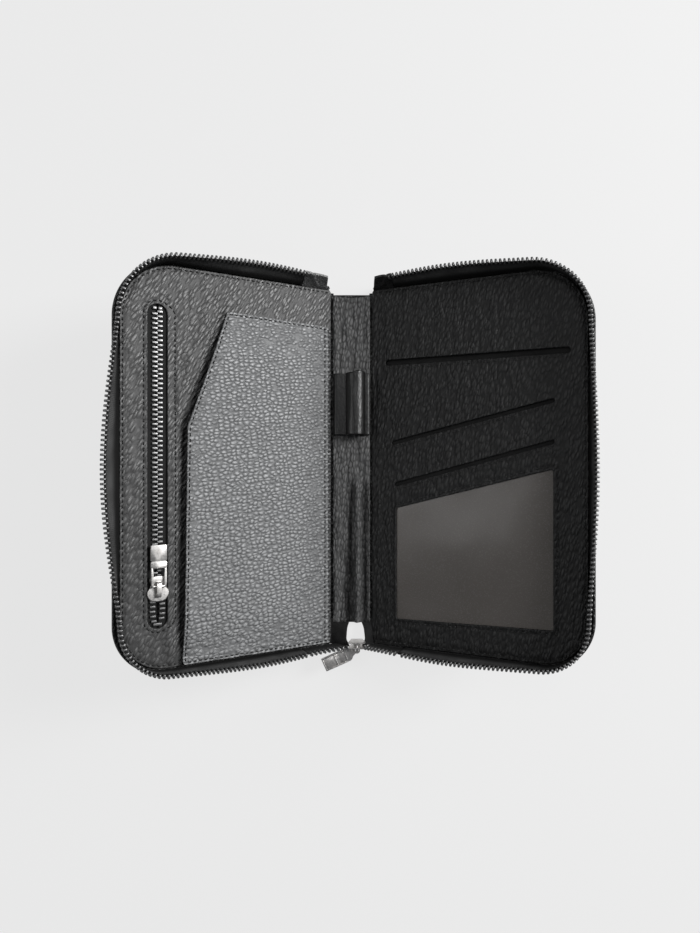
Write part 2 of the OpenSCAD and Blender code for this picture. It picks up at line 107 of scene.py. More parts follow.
def corners_of(node, side):
    """The corners of a CAD node's straight-sided outline, anticlockwise in (s, y)."""
    flat = sorted({(round(p[0], 2), round(p[1], 2)) for p in points_of(node, side)})

    def half(points):
        hull = []
        for p in points:
            while len(hull) > 1:
                a, b = hull[-2:]
                if (b[0] - a[0]) * (p[1] - a[1]) - (b[1] - a[1]) * (p[0] - a[0]) > 0.5:
                    break
                hull.pop()
            hull.append(p)
        return hull[:-1]

    return np.array(half(flat) + half(flat[::-1]))


(START, _, LINING_UNDER), (REACH, HALF, _) = span("right_lining", "right")
rim_points = points_of("right_lining", "right")
side_y = rim_points[rim_points[:, 0] > REACH - 0.01, 1]
TOP_R, FOOT_R = HALF - side_y.max(), HALF + side_y.min()
(_, _, COVER_UNDER), (OUTER_REACH, OUTER_HALF, _) = span("right_cover_leather", "right")
MARGIN = OUTER_REACH - REACH
POCKET = corners_of("passport_pocket", "left")
POCKET_TOP = span("passport_pocket", "left")[1][2]
(_, SPINE_FOOT, _), (SPINE_EDGE, SPINE_TOP, _) = span("spine_lining")
SLIDER_X = sum(p[0] for p in span("main_slider_body")) / 2
SLIDER_Y, SLIDER_Z = -109.0, 11.0
SLOT_W = 10.8
(tape_left, tape_foot, _), (tape_right, tape_top, _) = span("coin_zip_tapes", "left")
COIN_S = (tape_left + tape_right) / 2
COIN_SLOT = ((COIN_S, tape_foot + 4 + SLOT_W / 2), (COIN_S, tape_top - 4 - SLOT_W / 2))
# Each card slot's two ends and its width
CARD_SLOTS = (((11.5, 64.0), (118.5, 64.0), 3.5),
              ((15.0, 14.5), (110.5, 36.5), 2.4),
              ((17.0, -11.0), (110.5, 13.5), 2.4))

# Distances to outlines, and smooth shapes of them


def sd_cover(s, y, start, reach, half, grow=0.0):
    """Signed distance to a cover's outline: square at the fold, round at its outer corners.

    The corners' radii are a lining panel's plus grow.
    """
    corner = np.where(y > 0, TOP_R, FOOT_R) + grow
    ds, dy = s - (reach - corner), np.abs(y) - (half - corner)
    rounded = np.hypot(np.maximum(ds, 0), np.maximum(dy, 0)) - corner
    straight = np.maximum(s - reach, np.abs(y) - half)
    return np.maximum(np.where((ds > 0) & (dy > 0), rounded, straight), start - s)


def sd_band(s, y, ends, width):
    """Signed distance to a straight band with round ends."""
    (ax, ay), (bx, by) = ends
    px, py, bx, by = s - ax, y - ay, bx - ax, by - ay
    h = np.clip((px * bx + py * by) / (bx * bx + by * by), 0, 1)
    return np.hypot(px - bx * h, py - by * h) - width / 2


def sd_polygon(s, y, corners, r=0.0):
    """Signed distance to a convex anticlockwise polygon with its corners rounded to r."""
    corners = inset(corners, r) if r else corners
    nearest = np.full(np.shape(s), 1e9)
    inside = np.ones(np.shape(s), bool)
    for a, b in zip(corners, np.roll(corners, -1, axis=0)):
        ex, ey = b - a
        px, py = s - a[0], y - a[1]
        h = np.clip((px * ex + py * ey) / (ex * ex + ey * ey), 0, 1)
        nearest = np.minimum(nearest, np.hypot(px - ex * h, py - ey * h))
        inside &= ex * py - ey * px >= 0
    return np.where(inside, -nearest, nearest) - r


def bell(d, width):
    """A hump of height 1 where the distance d is 0."""
    return np.exp(-((d / width) ** 2))


def dent(d, depth, width):
    """A soft groove of that depth where the distance d is 0."""
    return -depth * bell(d, width)


def ease(q):
    q = np.clip(q, 0, 1)
    return q * q * (3 - 2 * q)


def ripple(x, y, size, seed):
    """A smooth random surface, about -1 to 1, with waves of about that size across x and y."""
    own = np.random.default_rng(seed)
    total = 0.0
    for _ in range(7):
        turn = own.uniform(0, 2 * math.pi)
        wave = own.uniform(0.7, 1.5)
        phase = own.uniform(0, 2 * math.pi)
        total = total + np.sin(2 * math.pi * wave * (x / size[0] * math.cos(turn)
                                              + y / size[1] * math.sin(turn)) + phase)
    return total / 3.2


# Mesh makers


def linked(name, data):
    made = bpy.data.objects.new(name, data)
    bpy.context.scene.collection.objects.link(made)
    return made


@contextmanager
def editing(mesh):
    bm = bmesh.new()
    bm.from_mesh(mesh)
    yield bm
    bm.to_mesh(mesh)
    bm.free()


def new_piece(name, verts, faces, side="row"):
    """An object from vertices in millimetres; in a cover's frame s is turned into its own x."""
    verts = np.array(verts, float)
    verts[:, 0] *= SIGN.get(side, 1)
    if SIGN.get(side, 1) < 0:
        faces = [tuple(reversed(f)) for f in faces]
    mesh = bpy.data.meshes.new(name)
    mesh.from_pydata((verts * MM).tolist(), [], faces)
    mesh.validate()
    mesh.polygons.foreach_set("use_smooth", [True] * len(mesh.polygons))
    piece = linked(name, mesh)
    piece.matrix_world = FRAMES[side]
    return piece


def finish_piece(piece, body, slot, finish, *replaced):
    """Gives a piece its material and, unless it is blended, the body that it rides."""
    piece.data.materials.clear()
    piece.data.materials.append(finish)
    if body:
        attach(piece, body)
    if replaced:
        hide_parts(*replaced)
    return piece


def facing_out(piece):
    with editing(piece.data) as bm:
        bmesh.ops.recalc_face_normals(bm, faces=bm.faces)
    return piece


def sheet(name, side, sdf, box, step, top, under, roll, thin=False, foot=0.0):
    """A slab with a rolled edge, inside the outline sdf(s, y) <= 0.

    top(s, y) gives the upper surface. A thin sheet keeps one thickness, 2 * roll, and follows
    its top underneath. Any other ends at height under, or on the surface under(s, y), where its
    lower edge is rolled to the radius foot.
    """
    rings = 3
    counts = [max(2, int(round((hi - lo) / step))) for lo, hi in box]
    xs, ys = (np.linspace(lo, hi, n + 1) for (lo, hi), n in zip(box, counts))
    x, y = np.meshgrid(xs, ys, indexing="ij")
    mid = np.meshgrid((xs[1:] + xs[:-1]) / 2, (ys[1:] + ys[:-1]) / 2, indexing="ij")
    keep = sdf(*mid) + roll < 0
    around = np.zeros(x.shape, int)
    for di in (0, 1):
        for dj in (0, 1):
            around[di:di + keep.shape[0], dj:dj + keep.shape[1]] += keep
    used = around > 0
    edge = used & (around < 4)

    def slope(px, py, eps=0.02):
        gx = sdf(px + eps, py) - sdf(px - eps, py)
        gy = sdf(px, py + eps) - sdf(px, py - eps)
        size = np.maximum(np.hypot(gx, gy), 1e-9)
        return gx / size, gy / size

    for _ in range(3):
        d = sdf(x[edge], y[edge]) + roll
        gx, gy = slope(x[edge], y[edge])
        x[edge] -= d * gx
        y[edge] -= d * gy
    number = np.full(x.shape, -1)
    number[used] = np.arange(used.sum())
    px, py = x[used], y[used]
    i, j = np.nonzero(keep)
    quads = np.c_[number[i, j], number[i + 1, j], number[i + 1, j + 1], number[i, j + 1]]
    faces = quads.tolist()

    # The edges of the outermost cells, and the rings of points that roll down from them
    padded = np.pad(keep, 1)
    outward = []
    for da, db, near in (((0, 0), (1, 0), padded[1:-1, :-2]), ((1, 0), (1, 1), padded[2:, 1:-1]),
                         ((1, 1), (0, 1), padded[1:-1, 2:]), ((0, 1), (0, 0), padded[:-2, 1:-1])):
        i, j = np.nonzero(keep & ~near)
        outward.append(np.c_[number[i + da[0], j + da[1]], number[i + db[0], j + db[1]]])
    outward = np.concatenate(outward)
    rim = np.unique(outward)
    ex, ey = px[rim], py[rim]
    gx, gy = slope(ex, ey)
    height = top(ex, ey)
    turns = [math.pi / 2 * k / rings for k in range(1, (2 * rings if thin else rings + 1))]
    levels = [np.c_[ex + gx * roll * math.sin(a), ey + gy * roll * math.sin(a),
                    height - roll * (1 - math.cos(a))] for a in turns]
    closed = thin or callable(under)
    if not closed:
        levels.append(np.c_[levels[-1][:, :2], np.full(len(rim), under)])
    elif not thin:
        floor_z = under(ex, ey)
        for k in range(rings, 0, -1):
            a = math.pi / 2 * k / rings
            out = roll - foot + foot * math.sin(a)
            levels.append(np.c_[ex + gx * out, ey + gy * out, floor_z + foot * (1 - math.cos(a))])
    verts = [np.c_[px, py, top(px, py)]] + levels
    previous, place = outward, np.searchsorted(rim, outward)
    for k in range(len(levels)):
        here = len(px) + len(rim) * k + place
        faces += np.c_[previous[:, ::-1], here].tolist()
        previous = here
    if closed:
        low = len(px) + len(rim) * len(levels)
        verts.append(np.c_[px, py, top(px, py) - 2 * roll if thin else under(px, py)])
        faces += (quads[:, ::-1] + low).tolist() + np.c_[previous[:, ::-1], outward + low].tolist()
    piece = new_piece(name, np.concatenate(verts), faces, side)
    if not closed:
        with editing(piece.data) as bm:
            open_edges = [e for e in bm.edges if e.is_boundary]
            bmesh.ops.triangle_fill(bm, use_beauty=False, use_dissolve=False, edges=open_edges)
            bmesh.ops.recalc_face_normals(bm, faces=bm.faces)
            for f in bm.faces:
                f.smooth = len(f.verts) == 4
    return piece


def slab(name, grid, thick, side="row"):
    """A closed ribbon of that thickness round a grid of points (n, m, 3)."""
    normal = np.cross(np.gradient(grid, axis=0), np.gradient(grid, axis=1))
    normal /= np.maximum(np.linalg.norm(normal, axis=2), 1e-9)[:, :, None]
    n, m = grid.shape[:2]
    total = n * m
    index = np.arange(total).reshape(n, m)
    a, b, c, d = index[:-1, :-1], index[1:, :-1], index[1:, 1:], index[:-1, 1:]
    faces = np.stack([a, b, c, d, a + total, d + total, c + total, b + total], -1)
    ring = np.r_[index[:, 0], index[-1, 1:], index[-2::-1, -1], index[0, -2:0:-1]]
    after = np.roll(ring, -1)
    faces = faces.reshape(-1, 4).tolist() + np.c_[after, ring, ring + total, after + total].tolist()
    both = [(grid + normal * thick * half).reshape(-1, 3) for half in (0.5, -0.5)]
    return facing_out(new_piece(name, np.concatenate(both), faces, side))


def keep_painted_root_shade(piece, shares):
    """Keeps a value from 0 at a tape's root to 1 at its edge on both faces of a slab, for the painted
    shade that darkens the tape towards its root.
    """
    layer = piece.data.attributes.new("across", "FLOAT", "POINT")
    layer.data.foreach_set("value", np.tile(shares.ravel(), 2))


def keep_painted_shade(piece, side, value):
    """Keeps value(s, y) at every point of a sheet for painted shade: 0 where the leather is painted
    darkest, in creases and gaps, and 1 in the open.
    """
    points = np.array([v.co for v in piece.data.vertices]) / MM
    layer = piece.data.attributes.new("depth", "FLOAT", "POINT")
    layer.data.foreach_set("value", value(points[:, 0] * SIGN.get(side, 1), points[:, 1]))


def bevelled(piece, width, segments):
    """Rounds a piece's hard edges and bakes the result into its mesh."""
    mod = piece.modifiers.new("edges", "BEVEL")
    mod.width = width * MM
    mod.segments = segments
    mod.limit_method = "ANGLE"
    mod.angle_limit = math.radians(35)
    graph = bpy.context.evaluated_depsgraph_get()
    mesh = bpy.data.meshes.new_from_object(piece.evaluated_get(graph))
    piece.modifiers.clear()
    piece.data = mesh
    mesh.polygons.foreach_set("use_smooth", [True] * len(mesh.polygons))


def gathered(name, placed, side="row"):
    """One object from pairs of a shape = (verts, faces) and its place, a 4x4 matrix in mm."""
    verts, faces, count = [], [], 0
    for (shape_verts, shape_faces), place in placed:
        flat = np.c_[np.array(shape_verts, float), np.ones(len(shape_verts))]
        verts.append((flat @ place.T)[:, :3])
        faces += [tuple(v + count for v in f) for f in shape_faces]
        count += len(flat)
    return new_piece(name, np.concatenate(verts), faces, side)


def ring_faces(rows, n, closed=False):
    """The faces between rows of n points each, and back to the first row where closed."""
    return [(k * n + i, k * n + (i + 1) % n, (k + 1) % rows * n + (i + 1) % n, (k + 1) % rows * n + i)
            for k in range(rows if closed else rows - 1) for i in range(n)]


def prism(profile, levels):
    """A closed solid from a profile in (x, y) and levels of (height, share of the profile's size)."""
    profile = np.array(profile, float)
    middle = profile.mean(0)
    verts = [np.c_[middle + (profile - middle) * share, np.full(len(profile), z)]
             for z, share in levels]
    rows, n = len(levels), len(profile)
    faces = ([tuple(reversed(range(n)))] + ring_faces(rows, n)
             + [tuple(range((rows - 1) * n, rows * n))])
    return np.concatenate(verts), faces


def basis(origin, x, y, z):
    m = np.eye(4)
    m[:3, 0], m[:3, 1], m[:3, 2], m[:3, 3] = x, y, z, origin
    return m


# Materials


class Shader:
    """A material under construction: each call adds a node and returns it."""

    def __init__(self, name):
        self.mat = bpy.data.materials.new(name)
        self.mat.use_nodes = True
        self.tree = self.mat.node_tree
        self.tree.nodes.clear()
        self.where = self.node("TexCoord").outputs["Object"]

    def set(self, made, key, value):
        if hasattr(value, "outputs"):
            value = value.outputs[0]
        if hasattr(value, "links"):
            self.tree.links.new(value, made.inputs[key])
        else:
            made.inputs[key].default_value = value

    def node(self, kind, settings=None, **inputs):
        made = self.tree.nodes.new("ShaderNode" + kind)
        for key, value in (settings or {}).items():
            setattr(made, key, value)
        for key, value in inputs.items():
            self.set(made, key.replace("_", " "), value)
        return made

    def math(self, operation, *values, kind="Math"):
        made = self.node(kind, {"operation": operation})
        for key, value in enumerate(values):
            self.set(made, key, value)
        return made

    def noise(self, scale, detail, vector=None, **more):
        vector = self.where if vector is None else vector
        return self.node("TexNoise", Vector=vector, Scale=scale, Detail=detail, **more)

    def mapped(self, vector, **how):
        return self.node("Mapping", Vector=vector, **how)

    def remap(self, value, low, high, to_low=0.0, to_high=1.0):
        return self.node("MapRange", {"interpolation_type": "SMOOTHSTEP"}, Value=value,
                         From_Min=low, From_Max=high, To_Min=to_low, To_Max=to_high)

    def mix(self, share, a, b):
        made = self.node("Mix", {"data_type": "RGBA"})
        for key, value in ((0, share), (6, a), (7, b)):
            self.set(made, key, value)
        return made.outputs[2]

    def bump(self, height, depth):
        return self.node("Bump", Strength=1.0, Distance=depth * MM, Height=height)

    def finish(self, **inputs):
        shader = self.node("BsdfPrincipled", **inputs)
        self.tree.links.new(shader.outputs[0], self.node("OutputMaterial").inputs[0])
        return self.mat


def grey(value, warm=0.0):
    return (value * (1 + warm), value, value * (1 - warm), 1)


def leather(name, dark, light, cell, stretch, angle, depth, rough, wrinkle, random=0.9, warm=0.0,
            shade=None, gloss=0.5):
    """Pebbled leather: cells of that size in mm, longer by stretch along the turned y.

    Where shade names a value kept on the mesh, the leather is painted near black at 0: painted shade
    for creases and gaps.
    """
    s = Shader(name)
    turned = s.mapped(s.where, Rotation=(0, 0, math.radians(angle)))
    size = 1 / (cell * MM)
    scaled = s.mapped(turned, Scale=(size, size / stretch, size))
    drift = s.noise(0.45, 2.0, scaled).outputs["Color"]
    centred = s.math("SUBTRACT", drift, (0.5, 0.5, 0.5), kind="VectorMath")
    moved = s.math("MULTIPLY_ADD", centred, (0.9, 0.9, 0.9), scaled, kind="VectorMath")
    middles, edges = (s.node("TexVoronoi", {"feature": feature}, Vector=moved, Scale=1.0,
                             Randomness=random).outputs["Distance"]
                      for feature in ("F1", "DISTANCE_TO_EDGE"))
    out = s.remap(middles, 0.0, 0.8)
    dome = s.math("SUBTRACT", 1.0, s.math("MULTIPLY", out, out))
    pebble = s.remap(edges, 0.0, 0.38)
    fine = s.noise(4.5, 4.0, scaled, Roughness=0.6)
    broad = s.noise(55.0, 3.0)
    folds = s.noise(0.6, 3.0, scaled, Distortion=0.6)
    height = s.math("ADD", dome, s.math("MULTIPLY", fine, 0.12))
    height = s.math("ADD", height, s.math("MULTIPLY", folds, wrinkle * 4))
    # Pebble tops lighter and valleys darker: partly the grain's own colour, partly painted shade in
    # the valleys.
    pebble_tone_and_shade = s.math("MULTIPLY", pebble, s.remap(fine, 0.35, 0.65, 0.82, 1.0))
    tone = s.math("MULTIPLY", pebble_tone_and_shade, s.remap(broad, 0.25, 0.75, 0.78, 1.0))
    colour = s.mix(tone, grey(dark, warm), grey(light, warm))
    # Painted shade: where the kept value falls to 0, the colour goes to near black.
    if shade:
        painted_shade_share = s.node("Attribute", {"attribute_name": shade}).outputs["Fac"]
        colour = s.mix(painted_shade_share, grey(0.002), colour)
    worn = s.math("ADD", s.math("MULTIPLY", dome, 0.7), s.math("MULTIPLY", fine, 0.3))
    return s.finish(Base_Color=colour, Roughness=s.remap(worn, 0.1, 0.9, rough[1], rough[0]),
                    Normal=s.bump(height, depth), Specular_IOR_Level=gloss)


def woven(name, dark, light, pitch, shade=None):
    """Zip tape or lining cloth: two crossed sets of yarns, pitch apart in mm.

    Where shade names a value kept on the mesh, the cloth is painted dark at 0 and light at 1: painted
    shade, as at a tape's root down by its cover.
    """
    s = Shader(name)
    yarns = [s.node("TexWave", {"bands_direction": "X"}, Vector=s.mapped(s.where, Rotation=turn),
                    Scale=1 / (pitch * MM) / 3.18, Distortion=0.6, Detail=1.0,
                    Detail_Scale=2.0).outputs["Fac"]
             for turn in ((0.6, 0.2, 0.785), (-0.6, 0.2, -0.785))]
    yarn = s.math("MAXIMUM", *yarns)
    height = s.math("ADD", yarn, s.math("MULTIPLY", s.noise(2600.0, 3.0), 0.4))
    broad = s.remap(s.noise(90.0, 2.0), 0.3, 0.7, 0.6, 1.0)
    tone = s.math("MULTIPLY", s.remap(yarn, 0.0, 1.0, 0.55, 1.0), broad)
    # Painted shade: the tone is multiplied by the kept value.
    if shade:
        tone = s.math("MULTIPLY", tone, s.node("Attribute", {"attribute_name": shade}).outputs["Fac"])
    return s.finish(Base_Color=s.mix(tone, grey(dark), grey(light)), Roughness=0.75,
                    Normal=s.bump(height, 0.06), Sheen_Weight=0.02, Sheen_Roughness=0.4,
                    Specular_IOR_Level=0.2)


def metal(name, colour, rough, warm=0.0):
    """Plated metal with fine brushing, small dents and a little tarnish."""
    s = Shader(name)
    brushed = s.noise(1.0, 3.0, s.mapped(s.where, Scale=(900.0, 9000.0, 2500.0)))
    dents = s.noise(700.0, 4.0)
    tint = s.remap(s.noise(260.0, 3.0), 0.35, 0.75)
    worn = s.math("ADD", s.math("MULTIPLY", brushed, 0.6), s.math("MULTIPLY", dents, 0.4))
    height = s.math("ADD", dents, s.math("MULTIPLY", brushed, 0.4))
    return s.finish(Base_Color=s.mix(tint, grey(colour, warm), grey(colour * 0.82, warm * 1.6)),
                    Metallic=1.0, Roughness=s.remap(worn, 0.3, 0.7, rough * 0.75, rough * 1.4),
                    Normal=s.bump(height, 0.012))


def thread(name, colour):
    """Waxed sewing thread with its twist."""
    s = Shader(name)
    twist = s.node("TexWave", Vector=s.mapped(s.where, Rotation=(0.5, 0.3, 0.8)), Scale=900.0,
                   Distortion=1.0).outputs["Fac"]
    fuzz = s.noise(4000.0, 2.0)
    height = s.math("ADD", twist, s.math("MULTIPLY", fuzz, 0.5))
    tone = s.remap(fuzz, 0.3, 0.7)
    return s.finish(Base_Color=s.mix(tone, grey(colour * 0.6), grey(colour)), Roughness=0.55,
                    Normal=s.bump(height, 0.05))


def board(name):
    """Grey pressed fibre board, seen only where a cover is cut open."""
    s = Shader(name)
    fibre = s.noise(900.0, 5.0, Distortion=1.2)
    tone = s.remap(fibre, 0.3, 0.7)
    return s.finish(Base_Color=s.mix(tone, (0.17, 0.15, 0.12, 1), (0.32, 0.28, 0.23, 1)),
                    Roughness=0.9, Normal=s.bump(fibre, 0.08))


def film(name):
    """The identity window's soft plastic: smoky, faintly rippled, with small scuffs."""
    s = Shader(name)
    tone = s.remap(s.noise(14.0, 2.0), 0.3, 0.7)
    return s.finish(Base_Color=s.mix(tone, (0.106, 0.097, 0.089, 1), (0.130, 0.119, 0.110, 1)),
                    Roughness=s.remap(s.noise(1500.0, 4.0), 0.45, 0.75, 0.2, 0.36), Alpha=0.85,
                    Normal=s.bump(s.noise(28.0, 1.0), 0.5), Specular_IOR_Level=0.5)


def pale_paper(name):
    """Plain pale paper that glows a little, as on a light table."""
    s = Shader(name)
    tone = s.remap(s.noise(3.0, 2.0), 0.3, 0.7)
    return s.finish(Base_Color=s.mix(tone, grey(0.080), grey(0.084)), Roughness=0.95,
                    Emission_Color=(1, 1, 1, 1), Emission_Strength=0.742)


# The linings, the spine and the pen loop are one black leather in lit and shaded copies: the left
# lining and the spine painted lighter as lit, the right lining and the loop darker as shaded.
LEFT_LEATHER_PAINTED_LIT = leather("lining_leather_left_painted_lit", 0.038, 0.092, 1.9, 2.4, 32, 0.40, (0.42, 0.58), 0.04,
                       random=0.75, shade="depth")
RIGHT_LEATHER_PAINTED_SHADE = leather("lining_leather_right_painted_shade", 0.007, 0.028, 1.6, 2.6, 12, 0.44, (0.46, 0.60),
                        0.03, gloss=0.36)
SPINE_LEATHER_PAINTED_LIT = leather("spine_leather_painted_lit", 0.060, 0.150, 1.7, 2.4, 6, 0.50, (0.40, 0.56), 0.08,
                        random=0.8, shade="depth", gloss=0.14)
LOOP_LEATHER_PAINTED_SHADE = leather("loop_leather", 0.002, 0.010, 1.6, 1.5, 0, 0.06, (0.32, 0.44), 0.04)
POCKET_LEATHER = leather("pocket_leather", 0.130, 0.315, 2.1, 1.5, 84, 0.72, (0.42, 0.56), 0.01,
                         random=0.7, warm=-0.015, shade="depth")
OUTER_LEATHER = leather("outer_leather", 0.006, 0.020, 1.9, 1.2, 20, 0.40, (0.40, 0.56), 0.04)
# The two end tabs are one leather in lit and shaded copies: the left tab painted lighter as lit, the
# right darker as shaded.
TAB_LEATHER = {
    "left": leather("tab_leather_left_painted_lit", 0.11, 0.36, 1.2, 1.3, 0, 0.2, (0.4, 0.6), 0.08),
    "right": leather("tab_leather_right_painted_shade", 0.008, 0.040, 1.2, 1.3, 0, 0.2, (0.5, 0.7), 0.08)}
# The tape is painted darker towards its root, as painted shade.
TAPE = woven("zip_tape", 0.003, 0.070, 0.5, shade="across")
FLAP_CLOTH = woven("tape_end_cloth", 0.004, 0.012, 0.5)
BAG_CLOTH = woven("pocket_cloth", 0.004, 0.012, 0.4)
TOOTH_METAL = metal("zip_metal", 0.20, 0.42)
HARDWARE = metal("hardware_metal", 0.66, 0.42, warm=0.02)
THREAD = thread("dark_thread", 0.007)
BOARD = board("fibre_board")
FILM = film("window_film")

# Camera

cam_data = bpy.data.cameras.new("camera")
cam_data.lens = 26.6
cam_data.sensor_width = 36
cam_data.clip_start = 0.01
camera = linked("camera", cam_data)
camera.location = (-0.00095, 0, 0.4352)
bpy.context.scene.camera = camera

# The zip's path round a cover

RIM_TOP_R, RIM_FOOT_R = TOP_R + 0.5, FOOT_R + 0.5
RIM_W = REACH + 1.1
RIM_HALF = HALF + 1
TOP_RUN = RIM_W - RIM_TOP_R
SIDE_START = TOP_RUN + RIM_TOP_R * math.pi / 2
FOOT_START = SIDE_START + 2 * RIM_HALF - RIM_TOP_R - RIM_FOOT_R
FOOT_RUN = RIM_W - RIM_FOOT_R
RIM_LENGTH = FOOT_START + RIM_FOOT_R * math.pi / 2 + FOOT_RUN
TAIL = 22
RIM_END = RIM_LENGTH - TAIL
TAPE_W = 9.5
TAPE_T = 0.6
TAPE_ROOT = 1.0
TOOTH_PITCH = 2.5
TABS = {"left": (6, 21), "right": (4, 15)}
# Where a tape's lean is set: the fold, then the middle of the top run, of the top corner, of the
# side, of the bottom corner and of the bottom run, and the slider
LEAN_PLACES = np.array([0, TOP_RUN / 2, (TOP_RUN + SIDE_START) / 2, (SIDE_START + FOOT_START) / 2,
                        (FOOT_START + RIM_LENGTH - FOOT_RUN) / 2, RIM_LENGTH - FOOT_RUN / 2,
                        RIM_LENGTH])
SIDE_LEAN = {"left": 35, "right": 65}


def seed_for(side, first):
    return first + (side == "right")


def lean(side, u):
    """How far a tape stands out of its cover's plane at distance u along the rim, in radians.

    It stands up round a corner, where its edge is gathered, and lies out along a side.
    """
    angles = np.array([75, 60, 85, SIDE_LEAN[side], 90, 75, 90], float)
    i = np.clip(np.searchsorted(LEAN_PLACES, u) - 1, 0, len(LEAN_PLACES) - 2)
    share = ease((u - LEAN_PLACES[i]) / (LEAN_PLACES[i + 1] - LEAN_PLACES[i]))
    return np.radians(angles[i] + (angles[i + 1] - angles[i]) * share)


def rim(u):
    """(s, y, heading) of the rim at distance u from the fold at the top end."""
    u = np.asarray(u, float)
    first = np.clip((u - TOP_RUN) / RIM_TOP_R, 0, math.pi / 2)
    second = np.clip((u - FOOT_START) / RIM_FOOT_R, 0, math.pi / 2)
    heading = math.pi / 2 - first - second
    r = np.where(u < FOOT_START, RIM_TOP_R, RIM_FOOT_R)
    s = np.where(u < TOP_RUN, u, RIM_W - r + r * np.cos(heading))
    s = np.where(u > RIM_LENGTH - FOOT_RUN, RIM_LENGTH - u, s)
    side_u = np.clip(u - SIDE_START, 0, FOOT_START - SIDE_START)
    centre = np.where(u < FOOT_START, RIM_HALF - RIM_TOP_R - side_u, RIM_FOOT_R - RIM_HALF)
    return s, centre + r * np.sin(heading), heading


def tape_point(side, u, w, e=0.0):
    """A point w across the tape and e off its middle, in the cover's frame."""
    s, y, heading = rim(u)
    a = lean(side, u)
    out = w * np.cos(a) + e * np.sin(a)
    return np.stack([s + out * np.cos(heading), y + out * np.sin(heading),
                     w * np.sin(a) - e * np.cos(a)], -1)


def tooth_place(side, u, w):
    """The matrix of a tooth: its length along the tape's width, its width along the rim."""
    heading, a = rim(u)[2], float(lean(side, u))
    out = np.array([math.cos(heading), math.sin(heading), 0.0])
    along = np.array([math.sin(heading), -math.cos(heading), 0.0])
    up = np.array([0.0, 0.0, 1.0])
    return basis(tape_point(side, u, w), along, math.sin(a) * out - math.cos(a) * up,
                 math.cos(a) * out + math.sin(a) * up)


TOOTH = prism([(-0.65, -0.85), (-0.45, -1.2), (0.45, -1.2), (0.65, -0.85),
               (0.65, 0.85), (0.45, 1.2), (-0.45, 1.2), (-0.65, 0.85)],
              [(-0.5, 0.8), (-0.35, 1.0), (0.9, 1.0), (1.2, 0.74), (1.55, 0.74),
               (1.8, 0.98), (2.2, 0.98), (2.4, 0.72)])


def zip_half(side):
    body = side + "_cover"
    start = TABS[side][1] + 0.2
    u = np.linspace(start, RIM_END, int((RIM_END - start) / 1.6))[:, None]
    w = np.r_[np.linspace(-TAPE_ROOT, TAPE_W - 1.0, 9), TAPE_W - 0.6, TAPE_W][None, :]
    wave = 0.16 * ripple(u, w, (17, 30), seed_for(side, 5))
    wave *= ease((w - 1) / 4) * ease((TAPE_W - w) / 2)
    tape = slab(side + "_zip_tape_cloth", tape_point(side, u, w, wave), TAPE_T, side)
    # Painted shade: the tape darkens towards its root.
    keep_painted_root_shade(tape, ease((w - 1.5) / 4.0) + 0 * u)
    finish_piece(tape, body, "zip_tape", TAPE, side + "_zip_tape")
    bead = rope(side + "_zip_tape_bead", tape_point(side, u[:, 0], TAPE_W - 0.25), 0.62, side)
    finish_piece(bead, body, "zip_tape", FLAP_CLOTH)
    teeth = gathered(side + "_zip_teeth_metal", [(TOOTH, tooth_place(side, v, TAPE_W)) for v in
                     np.arange(TABS[side][1] + 1.5, RIM_END - 0.7, TOOTH_PITCH)], side)
    finish_piece(teeth, body, "zip_metal", TOOTH_METAL, side + "_zip_teeth")


def rope(name, path, radius, side):
    """A round cord of that radius along a row of points, with closed ends."""
    sides = 6
    heading = np.gradient(path, axis=0)
    heading /= np.linalg.norm(heading, axis=1)[:, None]
    right = np.cross(heading, (0.3, 0.2, 0.93))
    right /= np.linalg.norm(right, axis=1)[:, None]
    up = np.cross(right, heading)
    turn = (np.arange(sides) * 2 * math.pi / sides)[None, :, None]
    ring = path[:, None] + radius * (np.cos(turn) * right[:, None] + np.sin(turn) * up[:, None])
    n = len(path)
    faces = ring_faces(n, sides)
    faces += [tuple(range(sides)), tuple(reversed(range((n - 1) * sides, n * sides)))]
    return facing_out(new_piece(name, ring.reshape(-1, 3), faces, side))


def end_tab(side):
    """The leather tab that wraps the start of a tape, with a crease pinched across it."""
    low, high = TABS[side]
    u = np.linspace(low, high, 26)[:, None]
    w = np.linspace(-TAPE_ROOT, TAPE_W + 3.0, 14)[None, :]
    share = (u - low) / (high - low)
    crease = dent(share - 0.35 - 0.03 * w, 0.5, 0.07) * ease((w - 1) / 4)
    soft = 0.14 * ripple(u, w, (7, 9), seed_for(side, 21))
    square_end = (0.28 + 0.20 * (1 - share)) * np.maximum(w, 0) - 2.2 * (1 - share)
    grid = tape_point(side, u + square_end, w, crease + soft)
    grid[:, :, 2] += 0.25 * np.sin(share * math.pi) * (w > TAPE_W)
    tab = slab(side + "_end_tab_leather", grid, 1.3, side)
    bevelled(tab, 0.35, 3)
    finish_piece(tab, side + "_cover", "tab_leather", TAB_LEATHER[side], side + "_zip_end_tab")


# Stitching


def resample(corners, r=0):
    """Points every 0.5 mm along straight sides, with the corners cut by arcs of about r."""
    corners = np.array(corners, float)
    path = [a + (b - a) * q for a, b in zip(corners, corners[1:])
            for q in np.arange(0, 1, 0.5 / np.linalg.norm(b - a))]
    path = np.array(path + [corners[-1]])
    if r:
        kernel = np.ones(2 * r + 1) / (2 * r + 1)
        longer = np.pad(path, ((r, r), (0, 0)), mode="edge")
        path = np.stack([np.convolve(longer[:, k], kernel, "valid") for k in (0, 1)], -1)
    return path


def loop(corners, r=0):
    """The same round a closed outline."""
    return resample(np.r_[corners, corners[:1]], r)


